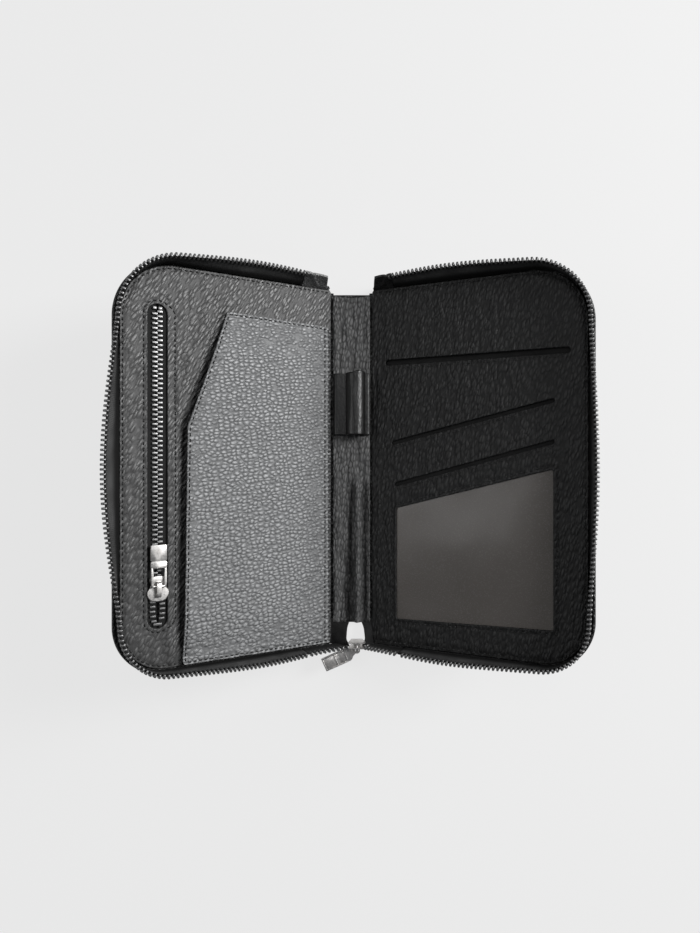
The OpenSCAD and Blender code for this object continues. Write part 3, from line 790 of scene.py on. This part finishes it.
def stitch_shape(length, radius):
    """A short thread that dives into the leather at both ends."""
    rings, sides = 7, 6
    q, a = np.meshgrid(np.arange(rings) / (rings - 1), 2 * math.pi * np.arange(sides) / sides,
                       indexing="ij")
    lift = radius * (1.1 - 3.4 * (2 * q - 1) ** 4)
    verts = np.stack([length * (q - 0.5), radius * np.cos(a),
                      lift + radius * 0.8 * np.sin(a)], -1)
    faces = [(a, d, c, b) for a, b, c, d in ring_faces(rings, sides)]
    faces += [tuple(range(sides)), tuple(reversed(range((rings - 1) * sides, rings * sides)))]
    return verts.reshape(-1, 3), faces


def stitches(name, side, path, height, *replaced, pitch=3.1, length=2.4, radius=0.33, skip=None):
    """A row of stitches along a path of (s, y) points, lying at height(s, y)."""
    step = np.linalg.norm(np.diff(path, axis=0), axis=1)
    run = np.r_[0, np.cumsum(step)]

    def at(u):
        return [np.interp(u, run, path[:, k]) for k in (0, 1)]

    shape, placed = stitch_shape(length, radius), []
    for u in np.arange(pitch / 2, run[-1], pitch):
        s, y = at(u)
        if skip and skip(s, y):
            continue
        before, after = at(u - 0.6), at(u + 0.6)
        turn = math.atan2(after[1] - before[1], after[0] - before[0])
        turn += math.radians(5.0 + rng.normal(0, 1.6))
        t = float(height(s, y))
        x = np.array([math.cos(turn), math.sin(turn), 0])
        z = np.array([0, 0, 1.0 if t > -2 else -1.0])
        placed.append((shape, basis((s, y, t), x, np.cross(z, x), z)))
    finish_piece(gathered(name, placed, side), side + "_cover", "thread", THREAD, *replaced)


# Covers

SEAM_IN = 1.6
LINING_BOX = ((START, REACH + 0.5), (-HALF - 0.5, HALF + 0.5))


def round_path(start, reach, half, grow):
    """A line from the fold at the top round both outer corners to the fold at the foot."""
    turn = np.linspace(math.pi / 2, 0, 60)
    upper, lower = (np.c_[reach - r + r * np.cos(turn), half - r + r * np.sin(turn)]
                    for r in (TOP_R + grow, FOOT_R + grow))
    lower = (lower * (1, -1))[::-1]
    return resample(np.concatenate([[[start, half]], upper, lower, [[start, -half]]]))


def rim_seam(edge):
    """The groove and the puff beside it at a lining's outer seam."""
    return dent(edge + SEAM_IN, 0.28, 0.75) + 0.12 * bell(edge + 4.5, 2.0)


def rim_stitches(side, height, **more):
    path = round_path(START + 1.5, REACH - SEAM_IN, HALF - SEAM_IN, -SEAM_IN)
    stitches(side + "_rim_stitches", side, path, height, side + "_lining_thread", **more)


def cover_shell(side):
    rim_w = 1.9

    def line(s, y, start):
        return sd_cover(s, y, start, OUTER_REACH, OUTER_HALF, MARGIN)

    def outline(s, y):
        return line(s, y, START)

    def top(s, y):
        rise = ease((line(s, y, START - 6) + rim_w + 0.8) / 0.8)
        return (COVER_UNDER + 1) * (1 - rise) + (LINING_UNDER - 0.05) * rise

    def under(s, y):
        edge = line(s, y, START - 9)
        puff = 0.35 * (1 - ease((-edge - 2) / 9))
        soft = 0.1 * ripple(s, y, (60, 80), seed_for(side, 31)) * ease((-outline(s, y) - 4) / 10)
        return COVER_UNDER + puff - dent(edge + 3.2, 0.3, 0.7) + 0.12 + soft

    box = ((START, OUTER_REACH + 0.5), (-OUTER_HALF - 0.5, OUTER_HALF + 0.5))
    shell = sheet(side + "_outer_leather", side, outline, box, 1.0, top, under, 0.7, foot=0.9)
    finish_piece(shell, side + "_cover", "outer_leather", OUTER_LEATHER, side + "_cover_leather")
    path = round_path(2.5, OUTER_REACH - 3.2, OUTER_HALF - 3.2, MARGIN - 3.2)
    stitches(side + "_outer_stitches", side, path, under, pitch=3.4, length=2.5, radius=0.3)


def left_lining():
    def outline(s, y):
        return np.maximum(sd_cover(s, y, START, REACH, HALF), -sd_band(s, y, COIN_SLOT, SLOT_W))

    def top(s, y):
        edge = sd_cover(s, y, START - 6, REACH, HALF)
        gap = sd_band(s, y, COIN_SLOT, SLOT_W)
        mouth = sd_polygon(s, y, POCKET)
        folds = 0.16 * ripple(s, y, (9, 26), 41) * ease(-edge / 6) * ease((gap - 0.5) / 5)
        wide = 1 + 0.6 * ease((y - 20) / 50)
        hollow = 0.7 * bell(mouth - 6 * wide, 2.6) - 0.75 * bell(mouth - 1.2, 2.0 * wide)
        hollow *= ease((s - 60) / 20) * ease(-edge / 8)
        # The slot's seam lies further out on the side towards the fold
        slot_seam = dent(gap - np.where(s < COIN_S, 4.2, 2.0), 0.25, 0.8)
        return -0.12 + folds + hollow + rim_seam(edge) + slot_seam + 0.35 * bell(gap, 1.3)

    # Painted shade: the lining is painted near black in a band just outside the passport pocket's
    # mouth, as the pocket's shadow and the dark gap under its edge.
    def depth(s, y):
        mouth = sd_polygon(s, y, POCKET)
        wide = 1.7 + 1.5 * ease((y - 20) / 50)
        return 1 - 0.96 * bell(np.maximum(mouth - 0.8, 0), wide) * ease((s - 62) / 12)

    def under_pocket(s, y):
        return sd_polygon(s, y, POCKET) < 0.4

    piece = sheet("left_lining_leather", "left", outline, LINING_BOX, 0.85, top, LINING_UNDER, 0.5)
    finish_piece(piece, "left_cover", "lining_leather", LEFT_LEATHER_PAINTED_LIT, "left_lining")
    keep_painted_shade(piece, "left", depth)
    rim_stitches("left", top, skip=under_pocket)
    turn = np.linspace(0, 2 * math.pi, 120, endpoint=False)
    out = SLOT_W / 2 + np.where(np.cos(turn) > 0, 2.0, 2.0 + 2.4 * np.cos(turn) ** 2)
    mid = np.where(np.sin(turn) > 0, COIN_SLOT[1][1], COIN_SLOT[0][1])
    seam = np.c_[COIN_S + out * np.cos(turn), mid + (SLOT_W / 2 + 2) * np.sin(turn)]
    stitches("coin_slot_stitches", "left", loop(seam), top, "coin_zip_thread", skip=under_pocket)


def passport_pocket():
    (fold_s, foot_y), upper, fold_top = POCKET[0], POCKET[3], POCKET[4]
    run = (upper - fold_top) / np.linalg.norm(upper - fold_top)

    def outline(s, y):
        return sd_polygon(s, y, POCKET, 2.0)

    def top(s, y):
        d = outline(s, y)
        below = (fold_top[1] - y) * run[0] + (s - fold_top[0]) * run[1]
        sewn = np.minimum(np.minimum(s - fold_s, y - foot_y), below)
        rise = ease((sewn - 2) / 26)
        height = 1.3 + (POCKET_TOP - 1.1) * rise + 1.7 * bell(d, 7.0) * rise
        folds = 0.2 * ripple(s, y, (34, 44), 51) * rise
        slack = 0.175 * np.sin((s + 0.35 * y) / 19.0) * ease((sewn - 6) / 24)
        hem = dent(d + 1.5, 0.28, 0.7) + 0.16 * bell(d + 4.0, 1.6)
        return height + folds + slack + hem + dent(s - fold_s - 4.4, 0.2, 0.6)

    box = tuple(zip(POCKET.min(0) - 0.5, POCKET.max(0) + 0.5))
    piece = sheet("passport_pocket_leather", "left", outline, box, 0.85, top, None, 0.5, thin=True)
    finish_piece(piece, "left_cover", "pocket_leather", POCKET_LEATHER, "passport_pocket")
    # Painted shade: the pocket is painted darker along its edge at the fold side, beside the gap to
    # the spine.
    keep_painted_shade(piece, "left", lambda s, y: 0.15 + 0.85 * ease((s - fold_s - 0.4) / 1.8))
    stitches("passport_pocket_stitches", "left", loop(inset(POCKET, 1.5), 4), top,
             "passport_pocket_thread")
    line = [(fold_s + 4.4, foot_y + 2.5), (fold_top[0] + 4.4, fold_top[1] - 2.5)]
    stitches("passport_pocket_inner_stitches", "left", resample(line), top)


def right_lining():
    window = inset(corners_of("id_window_film", "right"), 4.0)

    def holes(s, y):
        nearest = sd_polygon(s, y, window, 1.2)
        for a, b, width in CARD_SLOTS:
            nearest = np.minimum(nearest, sd_band(s, y, (a, b), width))
        return nearest

    def outline(s, y):
        return np.maximum(sd_cover(s, y, START, REACH, HALF), -holes(s, y))

    def top(s, y):
        edge = sd_cover(s, y, START - 6, REACH, HALF)
        gap = holes(s, y)
        folds = 0.17 * ripple(s, y, (8, 30), 61) * ease(-edge / 6) * ease(gap / 5)
        card = 0.16 * bell(sd_band(s, y, CARD_SLOTS[2][:2], 0) - 12, 12) * ease(-edge / 20)
        pane_seam = dent(sd_polygon(s, y, window) - 2.2, 0.25, 0.7)
        return -0.12 + folds + card + rim_seam(edge) + pane_seam + 0.3 * bell(gap, 1.2)

    piece = sheet("right_lining_leather", "right", outline, LINING_BOX, 0.85, top, LINING_UNDER,
                  0.45)
    finish_piece(piece, "right_cover", "lining_leather", RIGHT_LEATHER_PAINTED_SHADE, "right_lining")
    rim_stitches("right", top)
    stitches("id_window_stitches", "right", loop(inset(window, -2.2), 2), top, "id_window_thread")
    for k, (a, b, width) in enumerate(CARD_SLOTS, 1):
        a, b = np.array(a), np.array(b)
        run = (b - a) / np.linalg.norm(b - a)
        off = np.array([-run[1], run[0]]) * (width / 2 + 1.7)
        stitches("card_slot_stitches_%d" % k, "right", resample([a - off, b - off]), top,
                 radius=0.22)


def window_film():
    corners = corners_of("id_window_film", "right")
    over = span("id_window_film", "right")[1][2]

    def outline(s, y):
        return sd_polygon(s, y, corners, 1.0)

    def top(s, y):
        sag = 0.12 * ripple(s, y, (60, 45), 71) + 0.1 * np.sin((s - 0.5 * y) / 13)
        return over - 0.1 + np.clip(sag, -0.2, 0.1)

    box = tuple(zip(corners.min(0), corners.max(0)))
    piece = sheet("id_window_plastic", "right", outline, box, 1.4, top, None, 0.1, thin=True)
    finish_piece(piece, "right_cover", "window_film", FILM, "id_window_film")


# Spine


def spine_pieces():
    def outline(x, y):
        dip = 1.6 * (1 - (x / SPINE_EDGE) ** 2)
        ends = np.maximum(y - (SPINE_TOP - dip), (SPINE_FOOT - 0.2) - y)
        return np.maximum(np.abs(x) - SPINE_EDGE, ends)

    def hollows(x, y):
        """The two hollows beside the lining's lengthwise fold, wider towards the foot: a slight dip
        in the mesh, painted dark as painted shade.
        """
        down = np.clip((-2 - y) / 90, 0, 1)
        left = bell(x - 0.2 + 2.0 * down, 1.0 + 2.2 * down)
        return np.maximum(left, 0.9 * bell(x - 8.6, 2.4)) * ease((-2 - y) / 14)

    def top(x, y):
        ridge = 2.3 * bell(x - 3.6, 2.1) * ease((-2 - y) / 14) - 0.25 * hollows(x, y)
        side = 0.35 * bell(np.abs(x) - SPINE_EDGE + 2.2, 1.4)
        folds = 0.34 * ripple(x, y, (5.5, 34), 81) + 0.16 * ripple(x, y, (2.4, 22), 83)
        return FOLD_Z - 0.25 + ridge + side + folds + 0.8 * bell(y - SPINE_FOOT - 1.2, 1.5)

    box = ((-SPINE_EDGE - 0.2, SPINE_EDGE + 0.2), (SPINE_FOOT - 1, SPINE_TOP + 1))
    piece = sheet("spine_lining_leather", "row", outline, box, 0.6, top, FOLD_Z - 1, 0.5)
    # Painted shade: the lining is painted near black in the hollows.
    keep_painted_shade(piece, "row", lambda x, y: 1 - 0.97 * hollows(x, y))
    finish_piece(piece, "spine", "lining_leather", SPINE_LEATHER_PAINTED_LIT, "spine_lining")

    low, high = span("spine_cover_leather")

    def outer(x, y):
        return np.maximum(np.abs(x) - high[0], np.maximum(y - high[1], low[1] - y))

    def back(x, y):
        return 0.08 + 0.07 * ripple(x, y, (14, 60), 82) * ease(-outer(x, y) / 3)

    piece = sheet("spine_outer_leather", "row", outer, tuple(zip(low[:2], high[:2])), 0.9,
                  lambda x, y: 0 * x + high[2], back, 0.3, foot=0.3)
    finish_piece(piece, "spine", "outer_leather", OUTER_LEATHER, "spine_cover_leather")


def pen_loop():
    """The loop's strap: up round the pen's tunnel and flat to both sides under its stitching."""
    low, high = span("pen_loop")
    points = points_of("pen_loop")
    x0 = points[points[:, 2] > high[2] - 0.3, 0].mean()
    wall = 1.0
    r = (high[2] - FOLD_Z) / 2 - wall / 2
    centre = FOLD_Z + wall / 2 + r
    turn = np.linspace(-math.radians(62), math.radians(180 + 62), 34)
    ring = np.c_[x0 + r * np.cos(turn), centre + r * np.sin(turn)]
    out = np.linspace(0, 1, 6)[1:, None]
    left_foot, right_foot = (np.array([edge[0], FOLD_Z + wall / 2 + 0.05]) for edge in (low, high))
    profile = np.r_[out[::-1] * (right_foot - ring[0]) + ring[0], ring,
                    out * (left_foot - ring[-1]) + ring[-1]]
    x, z = profile.T
    y = np.linspace(low[1], high[1], 46)[:, None]
    bulge = 1.3 * bell(x - x0 - 2, 3.2) * (z > centre)
    reach = np.abs(np.linspace(-1, 1, len(profile)))
    y = y + (bulge - 0.6 * (1 - reach)) * ease((y - high[1] + 12) / 12)
    dents = 0.22 * ripple(y, x + z, (16, 9), 91) * (z > centre)
    grid = np.stack(np.broadcast_arrays(x, y, z + dents), -1)
    finish_piece(slab("pen_loop_leather", grid, wall), "spine", "lining_leather", LOOP_LEATHER_PAINTED_SHADE,
                 "pen_loop")


def blended(piece, slot, finish, node, start, end):
    """A piece that lies between the spine and a cover, its place baked in, with no body to ride;
    start and end, both in millimetres, are not used.
    """
    finish_piece(piece, None, slot, finish, node)
    Vector(start) * MM
    Vector(end) * MM
    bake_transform(piece)


def fold_leather(side):
    """Outer leather bending between the spine and a cover."""
    sign = SIGN[side]
    low, high = span(side + "_fold_leather")
    a = np.array([sign * (FOLD_X - 0.9), 0.55])
    b = a + (sign * 1.4, 0)
    c, d = (np.array(row_point(side, START + s, COVER_UNDER + 0.55)) for s in (-0.8, 0.9))
    q = np.linspace(0, 1, 14)[:, None]
    x, z = (a * (1 - q) ** 3 + 3 * b * q * (1 - q) ** 2 + 3 * c * q ** 2 * (1 - q) + d * q ** 3).T
    y = np.linspace(low[1], high[1], 150)[:, None]
    grid = np.stack(np.broadcast_arrays(x, y, z + 0.06 * ripple(y, x, (18, 5), 95)), -1)
    blended(slab(side + "_fold_outer_leather", grid, 0.9), "outer_leather", OUTER_LEATHER,
            side + "_fold_leather", (a[0], 0, a[1]), (d[0], 0, d[1]))


# The tapes at the spine's foot


def in_row(side, p):
    """Points of a cover's frame in the row frame."""
    x, z = row_point(side, p[..., 0], p[..., 2])
    return np.stack([x, p[..., 1], z], -1)


def tail_grid(side, rows, across):
    """Points of a tape's last stretch, from its cover's foot to the slider's mouth."""
    sign = SIGN[side]
    q, k = rows[:, None, None], across[None, :, None]
    start = in_row(side, tape_point(side, RIM_END + 0.2, across * TAPE_W))
    root = np.array([FOLD_X + 0.8 if sign > 0 else -FOLD_X + 3, SLIDER_Y - 1.3, FOLD_Z + 1.2])
    mouth = np.array([SLIDER_X + sign * 4.9, SLIDER_Y - 0.3, SLIDER_Z + 7.4])
    knee = in_row(side, np.stack([0 * across + TAIL * 0.4, 0 * across - RIM_HALF,
                                  across * TAPE_W], -1))
    end = root * (1 - k) + mouth * k
    return start * (1 - q) ** 2 + 2 * knee * q * (1 - q) + end * q ** 2


def zip_tail(side):
    rows, across = np.linspace(0, 1, 26), np.linspace(0, 1, 10)
    grid = tail_grid(side, rows, across)
    grid[:, :, 1] += 0.12 * ripple(rows[:, None] * 22, across * 9, (8, 12), 101) * (1 - across)
    start, end = grid[-3].mean(0), grid[1].mean(0)
    tape = slab(side + "_zip_tail_cloth", grid, TAPE_T)
    # Painted shade: the tape darkens towards its root.
    keep_painted_root_shade(tape, ease(across * 1.3 - 0.4)[None, :] + 0 * rows[:, None])
    blended(tape, "zip_tape", TAPE, side + "_zip_tail", start, end)
    count = 9
    at = (np.arange(count) + 0.5) / count
    edge = tail_grid(side, at, np.array([0.8, 1.0]))
    ahead = tail_grid(side, at + 0.01, np.array([1.0]))[:, 0]
    placed = []
    for (inner, outer), after in zip(edge, ahead):
        z = (outer - inner) / np.linalg.norm(outer - inner)
        x = after - outer
        x -= z * (x @ z)
        x /= np.linalg.norm(x)
        placed.append((TOOTH, basis(outer, x, np.cross(z, x), z)))
    teeth = gathered(side + "_zip_tail_teeth_metal", placed)
    blended(teeth, "zip_metal", TOOTH_METAL, side + "_zip_tail_teeth", start, end)


def tape_flap(side):
    """The turned-in end of a tape: a flap from the opening at the spine's foot to the cover."""
    node = side + "_tape_end"
    low, high = span(node)
    points = points_of(node)
    top_y, foot_y = high[1] + 2.5, low[1] - 4.0
    sign = SIGN[side]
    inner = [sign * np.min(sign * points[np.abs(points[:, 1] - y) < 0.6, 0])
             for y in (high[1], low[1])]
    outer = row_point(side, START + 2.2, -1.5)
    q = np.linspace(0, 1, 26)[:, None]
    k = np.linspace(0, 1, 16)[None, :]
    swell = np.sin(np.clip(q * 1.05, 0, 1) * math.pi / 2)
    close = 1.9 * sign * ease((q - 0.72) / 0.28)
    pinch = 1.0 * sign * (1 - ease(q / 0.4))
    inner_x = inner[0] + (inner[1] - inner[0]) * swell - close - pinch
    x = outer[0] + (inner_x - outer[0]) * k
    y = top_y + (foot_y - top_y) * q
    rise = FOLD_Z - 0.6 + (high[2] - low[2] - 3.0) * ease(q * 0.8) * ease(k)
    z = outer[1] + (rise - outer[1]) * ease(k * 2.2) + 0.2 * ripple(x, y, (6, 9), 111)
    flap = slab(side + "_tape_end_cloth", np.stack(np.broadcast_arrays(x, y, z), -1), TAPE_T)
    blended(flap, "zip_tape", FLAP_CLOTH, node, (sign * (FOLD_X - 2.5), 0, FOLD_Z),
            (outer[0], 0, outer[1]))


# Metal parts and copies of CAD parts


@contextmanager
def copying(name, node):
    """A copy of a CAD part, open for editing, with its doubled points merged."""
    piece = linked(name, frame["nodes"][node].data.copy())
    with editing(piece.data) as bm:
        bmesh.ops.remove_doubles(bm, verts=bm.verts, dist=0.01 * MM)
        yield piece, bm


def rounded_copy(name, node, body, slot, finish, width):
    """A CAD part with its hard edges rounded off."""
    with copying(name, node) as (piece, bm):
        bmesh.ops.dissolve_limit(bm, angle_limit=math.radians(3), verts=bm.verts, edges=bm.edges)
    bevelled(piece, width, 3)
    finish_piece(piece, body, slot, finish, node)


def cloth_copy(node, side, slot, finish, seed):
    """A CAD sheet as slack cloth: both its faces follow one rippled surface."""
    swell = 0.1
    with copying(node + "_cloth", node) as (piece, bm):
        for _ in range(2):
            long_edges = [e for e in bm.edges if e.calc_length() > 4 * MM]
            bmesh.ops.subdivide_edges(bm, edges=long_edges, cuts=3, use_grid_fill=True)
        bmesh.ops.triangulate(bm, faces=bm.faces)
        to_cover = FRAMES[side].inverted()
        for vertex in bm.verts:
            local = to_cover @ vertex.co
            local.z += swell * MM * ripple(local.x / MM, local.y / MM, (9, 13), seed)
            vertex.co = FRAMES[side] @ local
    finish_piece(piece, side + "_cover", slot, finish, node)


def smooth_loop(points):
    """A closed outline through control points, its corners rounded by a quadratic B-spline."""
    points = np.array(points, float)
    out = []
    for before, here, after in zip(np.roll(points, 1, 0), points, np.roll(points, -1, 0)):
        a, b = (before + here) / 2, (here + after) / 2
        out += [a * (1 - q) ** 2 + 2 * here * q * (1 - q) + b * q ** 2 for q in np.arange(6) / 6]
    return out


def joined(name, shapes, place, side="row"):
    """One object from closed shapes = (verts, faces) drawn in a part's own frame."""
    return facing_out(gathered(name, [(shape, place) for shape in shapes], side))


def plate(outline, low, high, edge):
    """A flat plate with rounded rims: its outline drawn in by edge at both faces."""
    outline = np.array(outline, float)
    small = 1 - 2 * edge / np.ptp(outline, axis=0).min()
    shoulder = (1 + small * 2) / 3
    return prism(outline, [(low, small), (low + edge * 0.3, shoulder), (low + edge, 1),
                           (high - edge, 1), (high - edge * 0.3, shoulder), (high, small)])


def arch(width, low_y, high_y, base, rise, wall):
    """A bridge standing on height base: a flat strip bent into a loop along y."""
    turn = np.linspace(0, math.pi, 18)
    mid, half = (low_y + high_y) / 2, (high_y - low_y) / 2

    def bow(grow):
        return [(mid + (half + grow) * math.copysign(abs(math.cos(a)) ** 0.6, math.cos(a)),
                 (rise + grow) * math.sin(a) ** 0.6) for a in turn]

    section = np.array(bow(0.0) + bow(-wall)[::-1]) + (0, base)
    n = len(section)
    verts = np.concatenate([np.c_[np.full(n, x), section] for x in (-width / 2, width / 2)])
    faces = ring_faces(2, n)
    for first in (0, n):
        faces += [(first + i, first + i + 1, first + n - 2 - i, first + n - 1 - i)
                  for i in range(n // 2 - 1)]
    return verts, faces


def rod(half_length, radius):
    """A round pin across x."""
    turn = np.arange(16) * math.pi / 8
    verts, faces = prism(np.c_[radius * np.cos(turn), radius * np.sin(turn)],
                         [(-half_length, 0.75), (-half_length + 0.2, 1), (half_length - 0.2, 1),
                          (half_length, 0.75)])
    return verts[:, [2, 0, 1]], faces


def faceted_block(half_w, low, high, z_low, z_high, ridge_x, notch):
    """The pull's end: a block whose top has two long facets and each side a small notch."""
    rows = []
    for y, cut in ((low, 0.5), (low + 0.4, 0), (notch - 0.5, 0), (notch - 0.35, 0.45),
                   (notch + 0.35, 0.45), (notch + 0.5, 0), (high - 0.4, 0), (high, 0.4)):
        w = half_w - cut
        rows.append([(-w, y, z_low + 0.2), (-w, y, z_high - 0.5), (-w + 0.35, y, z_high - 0.2),
                     (ridge_x, y, z_high + 0.12), (w - 0.35, y, z_high - 0.45),
                     (w, y, z_high - 0.75), (w, y, z_low + 0.2), (w - 0.2, y, z_low),
                     (-w + 0.2, y, z_low)])
    n = len(rows[0])
    faces = [tuple(range(n)), tuple(reversed(range((len(rows) - 1) * n, len(rows) * n)))]
    return np.array(rows).reshape(-1, 3), faces + ring_faces(len(rows), n)


def coin_hardware():
    low, high = span("coin_slider_body", "left")
    mid_y, chain_t = (low[1] + high[1]) / 2, -0.45
    place = basis((COIN_S, mid_y, chain_t), *np.eye(3))
    half_w, half_l = (high[0] - low[0]) / 2, (high[1] - low[1]) / 2
    half = [(half_w * x, half_l * y) for x, y in (
        (0.42, -1), (0.86, -0.8), (1.12, -0.28), (0.78, 0.12), (0.66, 0.42), (0.86, 0.8),
        (0.52, 1.06))]
    shield = smooth_loop(half + [(-x, y) for x, y in reversed(half)])
    shapes = [plate(shield, 0.8, 1.6, 0.3),
              plate([(x * 0.74, y) for x, y in shield], -1.5, -1.15, 0.12),
              arch(2.6, -4.4, 4.2, 1.5, 2.6, 0.75)]
    body = joined("coin_slider_metal", shapes, place, "left")
    bevelled(body, 0.12, 2)
    finish_piece(body, "coin_slider", "hardware_metal", HARDWARE, "coin_slider_body")

    pivot = np.array([0, 1.7, 2.7])
    reach = span("coin_pull", "left")[1][1] - mid_y - pivot[1]
    shapes = [rod(3.4, 0.65), faceted_block(4.5, 9.8, reach, -0.85, 0.9, 0.8, 13.5)]
    for sign in (-1, 1):
        arm = smooth_loop([(sign * x, y) for x, y in (
            (2.7, -0.9), (4.2, -0.7), (4.4, 4), (4.4, 10.6), (2.9, 10.6), (2.9, 2.0))])
        shapes.append(plate(arm, -0.55, 0.6, 0.2))
    pull = joined("coin_pull_metal", [(v + pivot, f) for v, f in shapes], place, "left")
    bevelled(pull, 0.14, 2)
    finish_piece(pull, "coin_pull", "hardware_metal", HARDWARE, "coin_pull")


def main_pull():
    """A flat pull swung about the slider's bar: a ring, a neck and a framed end plate."""
    low, high = span("main_pull")
    pivot = np.array(joints["main_pull_swing"]["pos_m"]) / MM
    points = points_of("main_pull")
    away = np.linalg.norm(points[:, :2] - pivot[:2], axis=1)
    far = points[away > away.max() - 1.2]
    far = (far.min(0) + far.max(0)) / 2
    along = np.array([far[0] - pivot[0], far[1] - pivot[1], 0.0])
    reach = np.linalg.norm(along)
    along /= reach
    place = basis((pivot[0], pivot[1], (low[2] + high[2]) / 2), (along[1], -along[0], 0), along,
                  (0, 0, 1))
    half_w, end = 4.2, reach - 0.2
    turn = np.arange(24) * math.pi / 12
    ring = np.concatenate([np.c_[r * np.cos(turn), r * np.sin(turn), np.full(24, z)]
                           for r, z in ((1.15, -0.7), (1.9, -0.7), (1.9, 0.7), (1.15, 0.7))])
    neck = smooth_loop([(-1.6, 1.2), (1.6, 1.2), (1.9, 3.2), (half_w, 5.2), (half_w, 8.4),
                        (-half_w, 8.4), (-half_w, 5.2), (-1.9, 3.2)])
    shapes = [(ring, ring_faces(4, 24, closed=True)), plate(neck, -0.7, 0.7, 0.2),
              faceted_block(half_w, 7.4, end, -0.72, 0.5, 0.0, 12.0)]

    def strip(low_x, high_x, low_y, high_y, levels):
        shapes.append(prism([(low_x, low_y), (high_x, low_y), (high_x, high_y), (low_x, high_y)],
                            levels))

    for x in (-half_w + 0.45, half_w - 0.45):
        strip(x - 0.42, x + 0.42, 7.2, end, [(-0.7, 0.98), (0.6, 1), (0.75, 0.96)])
    for y in (7.6, 14.2, reach - 0.65):
        strip(-half_w + 0.3, half_w - 0.3, y - 0.42, y + 0.42, [(-0.6, 0.98), (0.6, 1), (0.74, 0.97)])
    pull = joined("main_pull_metal", shapes, place)
    bevelled(pull, 0.1, 2)
    finish_piece(pull, "main_pull", "hardware_metal", HARDWARE, "main_pull")


# The build; its order sets the random draws of the stitches

for a_side in SIGN:
    cover_shell(a_side)
    zip_half(a_side)
    end_tab(a_side)
    fold_leather(a_side)
    zip_tail(a_side)
    tape_flap(a_side)
left_lining()
passport_pocket()
right_lining()
window_film()
spine_pieces()
pen_loop()
coin_hardware()
main_pull()
rounded_copy("main_slider_metal", "main_slider_body", "main_slider", "hardware_metal", HARDWARE, 0.2)
for a_name, a_body, a_width in (
        ("coin_top_stops", "left_cover", 0.3), ("coin_bottom_stop", "left_cover", 0.3),
        ("main_stop", "spine", 0.3), ("coin_teeth_outer", "left_cover", 0.18),
        ("coin_teeth_inner", "left_cover", 0.18)):
    rounded_copy(a_name + "_metal", a_name.replace("_", "_zip_", 1), a_body, "zip_metal", TOOTH_METAL,
                 a_width)
for a_node in ("left_board", "right_board", "spine_stiffener"):
    board_mesh = frame["nodes"][a_node].data
    board_mesh.materials.clear()
    board_mesh.materials.append(BOARD)
cloth_copy("coin_zip_tapes", "left", "zip_tape", FLAP_CLOTH, 121)
cloth_copy("coin_pocket_bag", "left", "pocket_fabric", BAG_CLOTH, 122)
for a_seed, level in enumerate(("upper", "middle", "lower"), 123):
    cloth_copy("card_pocket_" + level, "right", "pocket_fabric", BAG_CLOTH, a_seed)

# Floor and light


def softbox(name, place, aim, size, power):
    data = bpy.data.lights.new(name, "AREA")
    data.shape = "RECTANGLE"
    data.size, data.size_y = size
    data.energy = power
    lamp = linked(name, data)
    lamp.location = place
    lamp.rotation_euler = (Vector(aim) - Vector(place)).to_track_quat("-Z", "Y").to_euler()


floor = linked("floor", bpy.data.meshes.new("floor"))
with editing(floor.data) as floor_grid:
    bmesh.ops.create_grid(floor_grid, x_segments=12, y_segments=12, size=3.0)
floor.location = (0, 0, -0.0004)
floor.data.materials.append(pale_paper("pale_floor"))

softbox("key_right", (0.92, 0.35, 0.62), (-0.05, 0, 0.04), (0.35, 0.6), 17)
softbox("overhead", (0.0, 0.5, 1.3), (0, 0, 0), (0.4, 0.4), 3)
softbox("fill_left", (-1.05, 0.1, 0.85), (0.08, 0, 0.04), (0.5, 0.7), 2.6)

world = bpy.data.worlds.new("studio")
world.use_nodes = True
background = world.node_tree.nodes["Background"]
background.inputs[0].default_value = (0.9, 0.93, 0.97, 1)
background.inputs[1].default_value = 0.12
bpy.context.scene.world = world
bpy.context.scene.view_settings.view_transform = "Standard"
